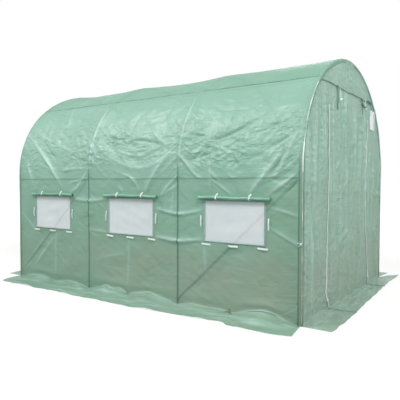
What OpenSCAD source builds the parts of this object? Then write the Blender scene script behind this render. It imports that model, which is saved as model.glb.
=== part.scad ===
// Walk-in polytunnel greenhouse: a hooped steel frame under a woven film cover.
// The origin is on the ground in the middle of the tunnel. X runs across it,
// Y runs along it with the door end towards -Y, and Z is up. Sizes are in mm.

/* [Frame] */
// Distance between the two leg centres of a hoop
hoop_w = 2000; // [1900:10:2400]
// Number of bays along the tunnel
bay_count = 3; // [2:1:5]
// Distance from one hoop to the next
bay_l = 1000; // [900:10:1300]
// Height at which a leg starts to bend inwards
leg_h = 1035; // [1000:5:1300]
// Radius of the side bends at the tube centre
bend_r = 845; // [750:5:900]
// Angle that each side bend turns through
bend_a = 51.5; // [46:0.5:58]
// Outside diameter of the frame tubes
tube_d = 25; // [20:1:32]
// Outside diameter of the diagonal braces
brace_d = 22; // [16:1:26]
// Drop from the start of the bend to the side rail
rail_drop = 50; // [50:5:150]

/* [Joints] */
// Wall thickness of the joint sleeves
sleeve_wall = 2; // [1.5:0.5:4]
// Length of the sleeve along a hoop
sleeve_l = 90; // [60:5:100]
// Reach of a sleeve's side arm from the hoop centre
arm_l = 60; // [45:5:100]
// Height of the upright socket on a base tee
socket_h = 62; // [50:1:90]
// Height of the lower brace bolt
brace_foot_z = 40; // [32:1:60]
// Thickness of the flattened brace ends
lug_t = 4; // [3:0.5:6]

/* [Cover] */
// Thickness of the cover sheet
sheet_t = 2; // [1.5:0.5:4]
// Width of the skirts along the sides
side_skirt_w = 270; // [120:10:400]
// Width of the skirts across the ends
end_skirt_w = 200; // [120:10:300]
// Height of the dark ties at the foot of the side walls
cover_tie_h = 34; // [20:1:60]

/* [Windows] */
// Width of a window opening
window_w = 500; // [300:10:640]
// Height of a window opening
window_h = 300; // [200:10:400]
// Drop from the side rail to the top of a window
window_drop = 165; // [130:5:220]
// Overlap of the net behind the edge of its opening
net_lap = 20; // [10:1:30]
// Thickness of the net
net_t = 1.5; // [1:0.5:3]
// Outside diameter of a rolled-up flap
roll_d = 32; // [24:1:44]
// Length of a roll past each side of its window
roll_over = 50; // [20:5:80]
// Thickness of the flap that is rolled
flap_t = 2; // [1.5:0.5:3]
// Width of the ties round a roll
roll_tie_w = 14; // [8:1:24]
// Length of the fastening tabs round a window
tab_l = 90; // [50:1:95]
// Width of the fastening tabs
tab_w = 18; // [10:1:24]

/* [Door] */
// Width of the door between its zips
door_w = 1030; // [800:10:1100]
// Offset of the door's middle from the gable's middle
door_shift = -10; // [-60:5:60]
// Width of a zip
zip_w = 12; // [8:1:20]
// Thickness of a zip
zip_t = 3; // [2:0.5:5]
// Drop from the lintel to the top of the zips
zip_drop = 60; // [30:5:120]
// Distance between the two straps that hold the rolled door
strap_gap = 655; // [400:5:700]
// Length of a strap
strap_l = 180; // [100:5:300]
// Width of a strap
strap_w = 22; // [12:1:36]
// Length of a toggle
toggle_l = 46; // [30:1:70]
// Diameter of a toggle
toggle_d = 9; // [6:1:14]

/* [Hidden] */
$fn = 64;
arch_fn = 180;
fit_gap = 0.3;
half_w = hoop_w / 2;
half_l = bay_count * bay_l / 2;
rail_z = leg_h - rail_drop;
sleeve_d = tube_d + 2 * sleeve_wall;
arm_d = sleeve_d - 1;

// Three-centred arch: a bend on each side and one wider crown between them
bend_x = half_w - bend_r;
crown_r = bend_r + bend_x / cos(bend_a);
crown_z = leg_h - bend_x * tan(bend_a);
shoulder_x = bend_x + bend_r * cos(bend_a);
shoulder_z = leg_h + bend_r * sin(bend_a);
bend_lap = sleeve_l / 2 / bend_r * 180 / PI;
crown_lap = (sleeve_l / 2 + 0.2) / crown_r * 180 / PI;

// The cover lies on the sleeves, so its faces follow from their size
lift = sleeve_d / 2 + fit_gap;
in_x = half_w + lift;
out_x = in_x + sheet_t;
in_y = half_l + lift;
out_y = in_y + sheet_t;

window_top = rail_z - window_drop;
window_low = window_top - window_h;
roll_r = roll_d / 2;
roll_z = window_top + roll_r + 5;
roll_hem = roll_r + 22;
door_x0 = door_shift - door_w / 2;
door_x1 = door_shift + door_w / 2;
post_in = tube_d / 2 + 27;

// Flattened brace ends: lug on the sleeve, then a taper up to the round tube
lug_d = brace_d * 1.5;
lug_flat = lug_d / 2 + 8;
lug_taper = 45;
brace_x = half_w - sleeve_d / 2 - fit_gap - lug_t / 2;
brace_rise = rail_z - brace_foot_z;
brace_l = sqrt(bay_l * bay_l + brace_rise * brace_rise);
brace_tilt = atan2(bay_l, brace_rise);

// Y of a hoop, counted from the door end
function hoop_y(i) = (i - bay_count / 2) * bay_l;
// Y of the middle of a bay
function bay_y(i) = (i + 0.5 - bay_count / 2) * bay_l;
// Outline of a rolled flap: one turn of a spiral with its free edge running up the wall
function roll_outline() = concat(
  [[roll_r, 0], [roll_r, roll_hem], [roll_r - flap_t, roll_hem]],
  [for (a = [0 : 10 : 350]) let (r = roll_r - flap_t + flap_t * a / 360) [r * cos(a), r * sin(a)]]
);

// Everything on the left is the mirror image of the right
module on_left() {
  mirror([1, 0, 0]) children();
}

module at_hoops() {
  for (i = [0 : bay_count]) translate([0, hoop_y(i), 0]) children();
}

module at_bays() {
  for (i = [0 : bay_count - 1]) translate([0, bay_y(i), 0]) children();
}

// Round bar along Y, centred on its middle
module bar_y(d, l) {
  rotate([90, 0, 0]) cylinder(d = d, h = l, center = true);
}

// Round bar bent about the Y axis from angle a0 to angle a1, measured up from +X
module arc_bar(r, d, a0, a1) {
  rotate([90, 0, 0]) rotate([0, 0, a0])
    rotate_extrude(angle = a1 - a0, $fn = arch_fn) translate([r, 0]) circle(d = d);
}

// Sheet bent about the Y axis, as wide as the whole cover
module arc_sheet(r, a0, a1) {
  rotate([90, 0, 0]) rotate([0, 0, a0])
    rotate_extrude(angle = a1 - a0, $fn = arch_fn)
      translate([r, -out_y]) square([sheet_t, 2 * out_y]);
}

// What of the disc lies between two lines from a point to points on its edge
module slice(r, from, edge_a, edge_b) {
  intersection() {
    circle(r = r, $fn = arch_fn);
    polygon([from, 3 * edge_a - 2 * from, 3 * edge_b - 2 * from]);
  }
}

// Outline of a hoop with the cover's inner face as its edge
module gable_outline() {
  bend_out = bend_r + lift;
  crown_out = crown_r + lift;
  bend_end = bend_out * [cos(bend_a), sin(bend_a)];
  crown_end = crown_out * [cos(bend_a), sin(bend_a)];
  translate([-in_x, 0]) square([2 * in_x, leg_h]);
  for (s = [0, 1]) mirror([s, 0]) translate([bend_x, leg_h])
    slice(bend_out, [0, 0], bend_out * [cos(-12), sin(-12)], bend_end);
  translate([0, crown_z])
    slice(crown_out, [0, -bend_r / 3], crown_end, [-crown_end.x, crown_end.y]);
}

// Upright sheet with the 2D outline given, its outer face at y = -out_y
module front_sheet() {
  translate([0, -in_y, 0]) rotate([90, 0, 0]) linear_extrude(height = sheet_t) children();
}

// Part of the gable between two heights and two sides
module gable_piece(x0, x1, z0, z1) {
  front_sheet() intersection() {
    gable_outline();
    translate([x0, z0]) square([x1 - x0, z1 - z0]);
  }
}

// Side arms of the sleeve at hoop i, towards the neighbouring hoops only
module sleeve_arms(i) {
  if (i > 0) rotate([90, 0, 0]) cylinder(d = arm_d, h = arm_l);
  if (i < bay_count) rotate([-90, 0, 0]) cylinder(d = arm_d, h = arm_l);
}

// Base tee: it lies on the ground and takes the leg in its upright socket
module base_tee(i) {
  translate([0, 0, sleeve_d / 2]) {
    sphere(d = sleeve_d);
    sleeve_arms(i);
    cylinder(d = sleeve_d, h = socket_h - sleeve_d / 2);
  }
}

module side_base_tees() {
  for (i = [0 : bay_count]) translate([half_w, hoop_y(i), 0]) base_tee(i);
}

module base_tees() {
  color("Silver") {
    side_base_tees();
    on_left() side_base_tees();
  }
}

module side_legs() {
  at_hoops() translate([half_w, 0, socket_h])
    cylinder(d = tube_d, h = rail_z - sleeve_l / 2 - socket_h);
}

module left_legs() {
  color("LightGrey") on_left() side_legs();
}

module right_legs() {
  color("LightGrey") side_legs();
}

// Rail sleeve: it reaches from the top of the leg to the start of the bend
module rail_sleeve(i) {
  translate([0, 0, -sleeve_l / 2]) cylinder(d = sleeve_d, h = sleeve_l / 2 + rail_drop);
  sleeve_arms(i);
}

module side_rail_sleeves() {
  for (i = [0 : bay_count]) translate([half_w, hoop_y(i), rail_z]) rail_sleeve(i);
}

module side_sleeves() {
  color("Silver") {
    side_rail_sleeves();
    on_left() side_rail_sleeves();
  }
}

// Bend: the arc from the rail sleeve up to the shoulder sleeve
module side_bends() {
  at_hoops() translate([bend_x, 0, leg_h]) arc_bar(bend_r, tube_d, 0, bend_a - bend_lap);
}

module left_bends() {
  color("LightGrey") on_left() side_bends();
}

module right_bends() {
  color("LightGrey") side_bends();
}

// Shoulder sleeve: it carries on the bend, and on the end hoops it also takes the lintel
module shoulder_sleeve(i) {
  translate([bend_x, 0, leg_h]) arc_bar(bend_r, sleeve_d, bend_a - bend_lap, bend_a + bend_lap);
  translate([shoulder_x, 0, shoulder_z]) {
    sleeve_arms(i);
    if (i == 0 || i == bay_count) rotate([0, -90, 0]) cylinder(d = arm_d, h = arm_l);
  }
}

module side_shoulder_sleeves() {
  for (i = [0 : bay_count]) translate([0, hoop_y(i), 0]) shoulder_sleeve(i);
}

module shoulder_sleeves() {
  color("Silver") {
    side_shoulder_sleeves();
    on_left() side_shoulder_sleeves();
  }
}

module crown_bars() {
  color("LightGrey") at_hoops() translate([0, 0, crown_z])
    arc_bar(crown_r, tube_d, bend_a + crown_lap, 180 - bend_a - crown_lap);
}

// One rail in each bay, from sleeve arm to sleeve arm
module rail_row(x, z) {
  at_bays() translate([x, 0, z]) bar_y(tube_d, bay_l - 2 * arm_l);
}

module left_base_rails() {
  color("LightGrey") rail_row(-half_w, sleeve_d / 2);
}

module right_base_rails() {
  color("LightGrey") rail_row(half_w, sleeve_d / 2);
}

module left_side_rails() {
  color("LightGrey") rail_row(-half_w, rail_z);
}

module right_side_rails() {
  color("LightGrey") rail_row(half_w, rail_z);
}

module left_shoulder_rails() {
  color("LightGrey") rail_row(-shoulder_x, shoulder_z);
}

module right_shoulder_rails() {
  color("LightGrey") rail_row(shoulder_x, shoulder_z);
}

// Tube end pressed flat: what stays of it lies between two slanting planes
module pressed_cut() {
  slope = atan2((brace_d - lug_t) / 2, lug_taper);
  for (s = [-1, 1]) {
    translate([s * (lug_t / 2 + brace_d), 0, 0])
      cube([2 * brace_d, 3 * brace_d, 2 * lug_flat], center = true);
    translate([s * lug_t / 2, 0, lug_flat]) rotate([0, s * slope, 0])
      translate([s * brace_d, 0, 2 * lug_taper])
        cube([2 * brace_d, 3 * brace_d, 4 * lug_taper], center = true);
  }
}

// Brace upright on its lower bolt, with a round lug at each end
module brace() {
  difference() {
    cylinder(d = brace_d, h = brace_l);
    pressed_cut();
    translate([0, 0, brace_l]) mirror([0, 0, 1]) pressed_cut();
  }
  for (z = [0, brace_l])
    translate([0, 0, z]) rotate([0, 90, 0]) cylinder(d = lug_d, h = lug_t, center = true);
}

// The end bays are braced, each from the foot of its rear hoop to the rail of its front hoop
module side_braces() {
  for (i = [1, bay_count])
    translate([brace_x, hoop_y(i), brace_foot_z]) rotate([brace_tilt, 0, 0]) brace();
}

module left_braces() {
  color("LightGrey") on_left() side_braces();
}

module right_braces() {
  color("LightGrey") side_braces();
}

module lintel(y) {
  translate([0, y, shoulder_z]) rotate([0, 90, 0])
    cylinder(d = tube_d, h = 2 * (shoulder_x - arm_l), center = true);
}

module front_lintel() {
  color("LightGrey") lintel(-half_l);
}

module rear_lintel() {
  color("LightGrey") lintel(half_l);
}

// Door posts, with their upper ends coped to sit under the round lintel
module door_posts() {
  color("LightGrey") difference() {
    for (x = [door_x0 + post_in, door_x1 - post_in])
      translate([x, -half_l, 0]) cylinder(d = tube_d, h = shoulder_z);
    translate([0, -half_l, shoulder_z]) rotate([0, 90, 0])
      cylinder(d = tube_d + 2 * fit_gap, h = hoop_w, center = true);
  }
}

// Side wall of the cover with a window cut through in each bay
module side_wall() {
  difference() {
    translate([in_x, -out_y, 0]) cube([sheet_t, 2 * out_y, leg_h]);
    at_bays() translate([in_x - 1, -window_w / 2, window_low])
      cube([sheet_t + 2, window_w, window_h]);
  }
}

module left_wall_sheet() {
  color("MediumSeaGreen") on_left() side_wall();
}

module right_wall_sheet() {
  color("MediumSeaGreen") side_wall();
}

module side_shoulder() {
  translate([bend_x, 0, leg_h]) arc_sheet(bend_r + lift, 0, bend_a);
}

module left_shoulder_sheet() {
  color("MediumAquamarine") on_left() side_shoulder();
}

module right_shoulder_sheet() {
  color("MediumAquamarine") side_shoulder();
}

module crown_sheet() {
  color("MediumSeaGreen") translate([0, 0, crown_z])
    arc_sheet(crown_r + lift, bend_a, 180 - bend_a);
}

module front_left_panel() {
  color("MediumAquamarine") gable_piece(-in_x, door_x0, 0, shoulder_z);
}

module front_right_panel() {
  color("MediumAquamarine") gable_piece(door_x1, in_x, 0, shoulder_z);
}

module front_top_panel() {
  color("MediumAquamarine") gable_piece(-in_x, in_x, shoulder_z, shoulder_z + crown_r);
}

module door_panel() {
  color("Aquamarine") gable_piece(door_x0, door_x1, 0, shoulder_z);
}

module rear_gable_sheet() {
  color("MediumAquamarine") mirror([0, 1, 0]) front_sheet() gable_outline();
}

// Skirts lie flat on the ground, where soil would hold them down
module side_skirt() {
  translate([out_x, -out_y, 0]) cube([side_skirt_w, 2 * out_y, sheet_t]);
}

module left_skirt() {
  color("SeaGreen") on_left() side_skirt();
}

module right_skirt() {
  color("SeaGreen") side_skirt();
}

module end_skirt(x0, x1) {
  translate([x0, -out_y - end_skirt_w, 0]) cube([x1 - x0, end_skirt_w, sheet_t]);
}

module rear_skirt() {
  color("SeaGreen") mirror([0, 1, 0]) end_skirt(-out_x, out_x);
}

module front_skirts() {
  color("SeaGreen") {
    end_skirt(-out_x, door_x0 - 1);
    end_skirt(door_x1 + 1, out_x);
  }
}

module door_skirt() {
  color("SeaGreen") end_skirt(door_x0, door_x1);
}

// Nets close the windows from behind
module side_nets() {
  at_bays() translate([in_x - net_t, -window_w / 2 - net_lap, window_low - net_lap])
    cube([net_t, window_w + 2 * net_lap, window_h + 2 * net_lap]);
}

module left_window_nets() {
  color("WhiteSmoke") on_left() side_nets();
}

module right_window_nets() {
  color("WhiteSmoke") side_nets();
}

// Rolled flap above each window, sewn to the wall along its upper edge
module side_rolls() {
  at_bays() translate([out_x + roll_r, 0, roll_z]) mirror([1, 0, 0]) rotate([90, 0, 0])
    linear_extrude(height = window_w + 2 * roll_over, center = true) polygon(roll_outline());
}

module left_window_rolls() {
  color("SeaGreen") on_left() side_rolls();
}

module right_window_rolls() {
  color("SeaGreen") side_rolls();
}

// Two ties hold each roll, bent round its outer side
module side_roll_ties() {
  at_bays() for (s = [-1, 1])
    translate([out_x + roll_r, s * window_w * 0.276, roll_z]) rotate([90, 0, 0])
      rotate([0, 0, -110]) rotate_extrude(angle = 220)
        translate([roll_r + fit_gap, -roll_tie_w / 2]) square([1.5, roll_tie_w]);
}

module roll_ties() {
  color("White") {
    side_roll_ties();
    on_left() side_roll_ties();
  }
}

// Fastening tabs: three under each window and one at each side
module side_tabs() {
  at_bays() {
    for (s = [-1, 0, 1])
      translate([out_x, s * (window_w / 2 - 15) - tab_l / 2, window_low - 17 - tab_w])
        cube([1.5, tab_l, tab_w]);
    for (s = [-1, 1])
      translate([out_x, s * (window_w / 2 + 30) - tab_w / 3, (window_low + window_top - tab_l) / 2])
        cube([1.5, tab_w * 2 / 3, tab_l]);
  }
}

module window_tabs() {
  color("White") {
    side_tabs();
    on_left() side_tabs();
  }
}

// A zip down each side of the door
module door_zips() {
  color("White") for (x = [door_x0, door_x1])
    translate([x - zip_w / 2, -out_y - zip_t, sheet_t])
      cube([zip_w, zip_t, shoulder_z - zip_drop - sheet_t]);
}

// Straps hang from the lintel seam, each with a toggle beside it
module door_straps() {
  color("DarkGreen") for (s = [-1, 1])
    translate([door_shift + s * strap_gap / 2 - strap_w / 2, -out_y - 2, shoulder_z - strap_l])
      cube([strap_w, 2, strap_l]);
}

module door_toggles() {
  color("White") for (s = [-1, 1])
    translate([
      door_shift + s * strap_gap / 2 + strap_w + toggle_l + 20,
      -out_y - toggle_d / 2 - fit_gap,
      shoulder_z - strap_l / 2
    ])
      rotate([0, 60, 0]) cylinder(d = toggle_d, h = toggle_l, center = true);
}

// Ties that hold the foot of the wall to the base rail, one in each bay
module side_cover_ties() {
  at_bays() translate([out_x, -strap_w, sheet_t]) cube([2, 2 * strap_w, cover_tie_h]);
}

module cover_ties() {
  color("DarkGreen") {
    side_cover_ties();
    on_left() side_cover_ties();
  }
}

base_tees();
left_legs();
right_legs();
side_sleeves();
left_bends();
right_bends();
shoulder_sleeves();
crown_bars();
left_base_rails();
right_base_rails();
left_side_rails();
right_side_rails();
left_shoulder_rails();
right_shoulder_rails();
left_braces();
right_braces();
front_lintel();
rear_lintel();
door_posts();
left_wall_sheet();
right_wall_sheet();
left_shoulder_sheet();
right_shoulder_sheet();
crown_sheet();
front_left_panel();
front_right_panel();
front_top_panel();
door_panel();
rear_gable_sheet();
left_skirt();
right_skirt();
rear_skirt();
front_skirts();
door_skirt();
left_window_nets();
right_window_nets();
left_window_rolls();
right_window_rolls();
roll_ties();
window_tabs();
door_zips();
door_straps();
door_toggles();
cover_ties();
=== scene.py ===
# %% [markdown]
# # A garden polytunnel, dressed in Blender
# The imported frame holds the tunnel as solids: galvanised hoops and rails, and plain sheets for the film.
# The steel can stay as it is, because a tube is a tube. The film can't: a real cover sags between the
# hoops, creases where it was folded in its box and spreads a skirt over the ground. So the steel only gets
# a finish here, and every sheet is sewn again as a thin curved mesh on the same lines.

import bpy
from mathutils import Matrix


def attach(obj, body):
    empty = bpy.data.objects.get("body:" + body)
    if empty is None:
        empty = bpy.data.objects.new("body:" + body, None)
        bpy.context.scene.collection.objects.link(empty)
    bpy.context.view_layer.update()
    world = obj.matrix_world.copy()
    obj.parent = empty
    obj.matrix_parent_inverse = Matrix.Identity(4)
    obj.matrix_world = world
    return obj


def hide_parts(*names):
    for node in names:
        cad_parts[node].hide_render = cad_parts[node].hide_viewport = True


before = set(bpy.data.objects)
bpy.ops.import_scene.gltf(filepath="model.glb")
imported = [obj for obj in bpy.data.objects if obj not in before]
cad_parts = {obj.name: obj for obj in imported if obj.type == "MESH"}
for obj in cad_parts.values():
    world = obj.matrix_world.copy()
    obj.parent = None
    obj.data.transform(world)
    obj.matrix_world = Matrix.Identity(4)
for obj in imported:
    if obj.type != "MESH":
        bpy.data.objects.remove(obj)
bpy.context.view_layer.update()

import math

import bpy
import numpy as np
from mathutils import Vector

# %% [markdown]
# ## The camera
# The view looks at the front left corner from about waist height. The camera could be aimed by eye, but the
# hoop feet, the shoulder line and the top of the arch are known points, so its place and lens were solved
# from them. A tunnel three metres long shows strong perspective, and a wrong lens would misplace every part.

# %% Place the camera
CAMERA_PLACE = (-3.9312, -2.7109, 0.9448)
CAMERA_DIP, CAMERA_ROLL, CAMERA_HEADING = 0.0345, -0.0022, -0.9691
LENS_MM, SENSOR_MM = 42.38, 36.0
lens_data = bpy.data.cameras.new("corner_view")
lens_data.sensor_width = SENSOR_MM
lens_data.lens = LENS_MM
camera = bpy.data.objects.new("corner_view", lens_data)
camera.location = CAMERA_PLACE
camera.rotation_euler = (math.pi / 2 - CAMERA_DIP, CAMERA_ROLL, CAMERA_HEADING)
bpy.context.scene.collection.objects.link(camera)
bpy.context.scene.camera = camera
print("camera", tuple(round(v, 3) for v in camera.location), "lens", lens_data.lens)

# %% [markdown]
# ## The line of the arch
# All film hangs on one curve: up the leg, round the side bend and over the flatter crown. Measuring along
# that curve, from the ground up, turns the cover into a flat map: y runs along the tunnel and s runs up the
# cloth. A crease can then be drawn on the map, as on a pattern on the cutting table, and the curve carries
# it into space.

# %% Section of the cover
HALF = 1.0
LEG_H = 1.035
BEND_R = 0.845
BEND_A = math.radians(51.5)
SKIN = 0.0158
WALL_X = HALF + SKIN
BEND_X = HALF - BEND_R
CROWN_R = BEND_R + BEND_X / math.cos(BEND_A)
CROWN_Z = LEG_H - BEND_X * math.tan(BEND_A)
S_SHOULDER = LEG_H + (BEND_R + SKIN) * BEND_A
S_END = S_SHOULDER + 2 * (math.pi / 2 - BEND_A) * (CROWN_R + SKIN)
END_Y = 1.5158
HOOPS = (-1.5, -0.5, 0.5, 1.5)
BAYS = (-1.0, 0.0, 1.0)


def section(s):
    """Place and outward direction on the cover at arc length s above the ground, on the +X side."""
    s = np.asarray(s, float)
    bend = np.clip((s - LEG_H) / (BEND_R + SKIN), 0, BEND_A)
    over = np.clip(s - S_SHOULDER, 0, None) / (CROWN_R + SKIN)
    turn = bend + over
    x = np.where(over > 0, (CROWN_R + SKIN) * np.cos(turn), BEND_X + (BEND_R + SKIN) * np.cos(bend))
    z = np.where(over > 0, CROWN_Z + (CROWN_R + SKIN) * np.sin(turn), LEG_H + (BEND_R + SKIN) * np.sin(bend))
    z = np.where(s < LEG_H, s, z)
    return x, z, np.cos(turn), np.sin(turn)


def half_width(z):
    """Half the width of the gable at height z."""
    z = np.asarray(z, float)
    bend = BEND_X + np.sqrt(np.clip((BEND_R + SKIN) ** 2 - np.clip(z - LEG_H, 0, None) ** 2, 0, None))
    crown = np.sqrt(np.clip((CROWN_R + SKIN) ** 2 - (z - CROWN_Z) ** 2, 0, None))
    return np.where(z > section(S_SHOULDER)[1], crown, bend)


TOP_Z = CROWN_Z + CROWN_R + SKIN
print("cover is", round(S_END + S_SHOULDER, 3), "m round, top at", round(TOP_Z, 3))

# %% [markdown]
# ## Meshes from numbers
# Sheets are grids of points, so a small helper turns a grid into a mesh and keeps the flat pattern as a UV
# map in metres. Small sewn things, such as ties and zip teeth, are many. They could be separate objects,
# but a pile that joins them into one mesh keeps the scene light and the list of pieces short.

# %% Sheet and pile helpers
def link(name, mesh, material):
    mesh.polygons.foreach_set("use_smooth", np.ones(len(mesh.polygons), bool))
    mesh.materials.append(material)
    piece = bpy.data.objects.new(name, mesh)
    bpy.context.scene.collection.objects.link(piece)
    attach(piece, "root")
    return piece


def sheet_piece(name, points, flat, material, keep=None):
    """A thin sheet from a grid of points, with its flat pattern as UVs; keep says which quads are cloth."""
    rows, cols = points.shape[:2]
    index = np.arange(rows * cols).reshape(rows, cols)
    quads = np.stack([index[:-1, :-1], index[:-1, 1:], index[1:, 1:], index[1:, :-1]], axis=-1)
    quads = quads.reshape(-1, 4) if keep is None else quads[keep]
    used, quads = np.unique(quads, return_inverse=True)
    quads = quads.reshape(-1, 4)
    mesh = bpy.data.meshes.new(name)
    mesh.from_pydata(points.reshape(-1, 3)[used].tolist(), [], quads.tolist())
    cut = mesh.uv_layers.new(name="cut")
    cut.data.foreach_set("uv", flat.reshape(-1, 2)[used][quads.ravel()].astype(np.float32).ravel())
    return link(name, mesh, material)


class Pile:
    """Collects many small grids into one mesh."""

    def __init__(self):
        self.points, self.faces, self.flat, self.size = [], [], [], 0

    def add(self, grid, wrap=False, caps=False, flat=None):
        grid = np.asarray(grid, float)
        rows, cols = grid.shape[:2]
        index = self.size + np.arange(rows * cols).reshape(rows, cols)
        around = np.concatenate([index, index[:, :1]], axis=1) if wrap else index
        quads = [around[:-1, :-1], around[:-1, 1:], around[1:, 1:], around[1:, :-1]]
        self.faces += np.stack(quads, axis=-1).reshape(-1, 4).tolist()
        if caps:
            self.faces += [index[0][::-1].tolist(), index[-1].tolist()]
        if flat is None:
            steps = np.linalg.norm(np.diff(grid, axis=0), axis=2).mean(axis=1)
            run = np.concatenate([[0], np.cumsum(steps)])
            side = np.linalg.norm(np.diff(grid, axis=1), axis=2).mean(axis=0)
            across = np.concatenate([[0], np.cumsum(side)])
            flat = np.stack(np.meshgrid(across, run), axis=-1)
        self.points.append(grid.reshape(-1, 3))
        self.flat.append(np.asarray(flat, float).reshape(-1, 2))
        self.size += rows * cols

    def closed(self, grid):
        """Adds rings of points as a closed tube or block with capped ends."""
        self.add(grid, wrap=True, caps=True)

    def piece(self, name, material):
        mesh = bpy.data.meshes.new(name)
        mesh.from_pydata(np.concatenate(self.points).tolist(), [], self.faces)
        cut = mesh.uv_layers.new(name="cut")
        loops = np.zeros(len(mesh.loops), np.int32)
        mesh.loops.foreach_get("vertex_index", loops)
        cut.data.foreach_set("uv", np.concatenate(self.flat)[loops].astype(np.float32).ravel())
        return link(name, mesh, material)


def sweep(path, ring, up):
    """Carries a closed ring of (side, up) offsets along a path, as a grid."""
    path, up = np.asarray(path, float), np.asarray(up, float)
    along = np.gradient(path, axis=0)
    along /= np.linalg.norm(along, axis=1)[:, None] + 1e-12
    up = np.broadcast_to(up, path.shape)
    side = np.cross(along, up)
    side /= np.linalg.norm(side, axis=1)[:, None] + 1e-12
    rise = np.cross(side, along)
    ring = np.asarray(ring, float)
    if ring.ndim == 2:
        ring = np.broadcast_to(ring, (len(path),) + ring.shape)
    return path[:, None] + ring[..., :1] * side[:, None] + ring[..., 1:] * rise[:, None]


def round_ring(radius, count=8):
    turn = np.linspace(0, 2 * math.pi, count, endpoint=False)
    return np.stack([radius * np.cos(turn), radius * np.sin(turn)], axis=1)


def tape_ring(width, thick):
    """Outline of a flat tape with softened edges."""
    w, t = width / 2, thick / 2
    return [(-w, -t * 0.4), (-w * 0.9, -t), (0, -t), (w * 0.9, -t), (w, -t * 0.4), (w, t * 0.4), (w * 0.9, t),
            (0, t), (-w * 0.9, t), (-w, t * 0.4)]


def smooth_path(points, count):
    """A smooth run of points through a few given ones."""
    points = np.asarray(points, float)
    ends = np.concatenate([2 * points[:1] - points[1:2], points, 2 * points[-1:] - points[-2:-1]])
    out = []
    for t in np.linspace(0, len(points) - 1 - 1e-9, count):
        i, f = int(t), t - int(t)
        a, b, c, d = ends[i:i + 4]
        out.append(0.5 * (2 * b + (c - a) * f + (2 * a - 5 * b + 4 * c - d) * f * f
                          + (3 * b - a - 3 * c + d) * f ** 3))
    return np.array(out)


print("helpers ready")

# %% [markdown]
# ## Shared effects as node groups
# Six effects return on many finishes: the woven grid of the film, the fine crinkle of pressed plastic,
# folds that hang from hoop to hoop, patchy tone, hanging streaks, and dust near the ground. Each is a
# shader node group that is built once and placed in each material with its own values. A group gives out
# masks and heights only, and the shader stays in the material.

# %% Node helpers
def node(tree, kind, inputs=None, **settings):
    """A new shader node; an input is either a socket to link or a plain value."""
    made = tree.nodes.new("ShaderNode" + kind)
    for key, value in settings.items():
        setattr(made, key, value)
    for key, value in (inputs or {}).items():
        if isinstance(value, bpy.types.NodeSocket):
            tree.links.new(value, made.inputs[key])
        else:
            made.inputs[key].default_value = value
    return made


def calc(tree, operation, a, b=0.0):
    return node(tree, "Math", {0: a, 1: b}, operation=operation).outputs[0]


def times(tree, first, *others):
    """Multiplies masks and numbers."""
    for other in others:
        first = calc(tree, "MULTIPLY", first, other)
    return first


def plus(tree, a, b):
    return calc(tree, "ADD", a, b)


def between(tree, value, low, high, to_low=0.0, to_high=1.0):
    """A soft step from one value to another."""
    inputs = {"Value": value, "From Min": low, "From Max": high, "To Min": to_low, "To Max": to_high}
    return node(tree, "MapRange", inputs, interpolation_type="SMOOTHSTEP").outputs[0]


def blend(tree, share, a, b):
    """Mixes two colours by a mask."""
    return node(tree, "Mix", {0: share, 6: a, 7: b}, data_type="RGBA").outputs[2]


def new_group(name, inputs, outputs):
    group = bpy.data.node_groups.new(name, "ShaderNodeTree")
    for label, kind, value in inputs:
        socket = group.interface.new_socket(label, in_out="INPUT", socket_type="NodeSocket" + kind)
        if value is not None:
            socket.default_value = value
    for label in outputs:
        group.interface.new_socket(label, in_out="OUTPUT", socket_type="NodeSocketFloat")
    return group, group.nodes.new("NodeGroupInput").outputs, group.nodes.new("NodeGroupOutput").inputs


def place_group(tree, group, inputs):
    return node(tree, "Group", inputs, node_tree=group).outputs


print("node helpers ready")

# %% Woven grid
woven_grid, ins, outs = new_group(
    "woven_grid", [("Place", "Vector", None), ("Pitch", "Float", 0.009), ("Thread", "Float", 0.3)],
    ["Threads", "Height"])
tree = woven_grid
apart = node(tree, "SeparateXYZ", {0: ins["Place"]}).outputs
half_pitch = times(tree, ins["Pitch"], 0.5)
lines = []
for axis in ("X", "Y"):
    ramp = calc(tree, "DIVIDE", calc(tree, "PINGPONG", apart[axis], half_pitch), half_pitch)
    lines.append(between(tree, ramp, 0.0, ins["Thread"], 1.0, 0.0))
both = calc(tree, "MAXIMUM", lines[0], lines[1])
knots = times(tree, lines[0], lines[1])
tree.links.new(both, outs["Threads"])
tree.links.new(plus(tree, both, knots), outs["Height"])
print("group", woven_grid.name)

# %% Crinkle of pressed film
film_crinkle, ins, outs = new_group(
    "film_crinkle", [("Place", "Vector", None), ("Size", "Float", 0.1)], ["Height"])
tree = film_crinkle
per_size = calc(tree, "DIVIDE", 1.0, ins["Size"])
wander = node(tree, "TexNoise", {"Vector": ins["Place"], "Scale": 7.0, "Detail": 2.0}).outputs["Color"]
bent = node(tree, "VectorMath", {0: wander, "Scale": 0.05}, operation="SCALE").outputs[0]
moved = node(tree, "VectorMath", {0: ins["Place"], 1: bent}, operation="ADD").outputs[0]
facets = []
for scale in (per_size, times(tree, per_size, 2.3)):
    cells = node(tree, "TexVoronoi", {"Vector": moved, "Scale": scale}, feature="DISTANCE_TO_EDGE")
    facets.append(cells.outputs["Distance"])
uneven = plus(tree, facets[0], times(tree, facets[1], 0.4))
tree.links.new(times(tree, uneven, ins["Size"]), outs["Height"])
print("group", film_crinkle.name)

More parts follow.
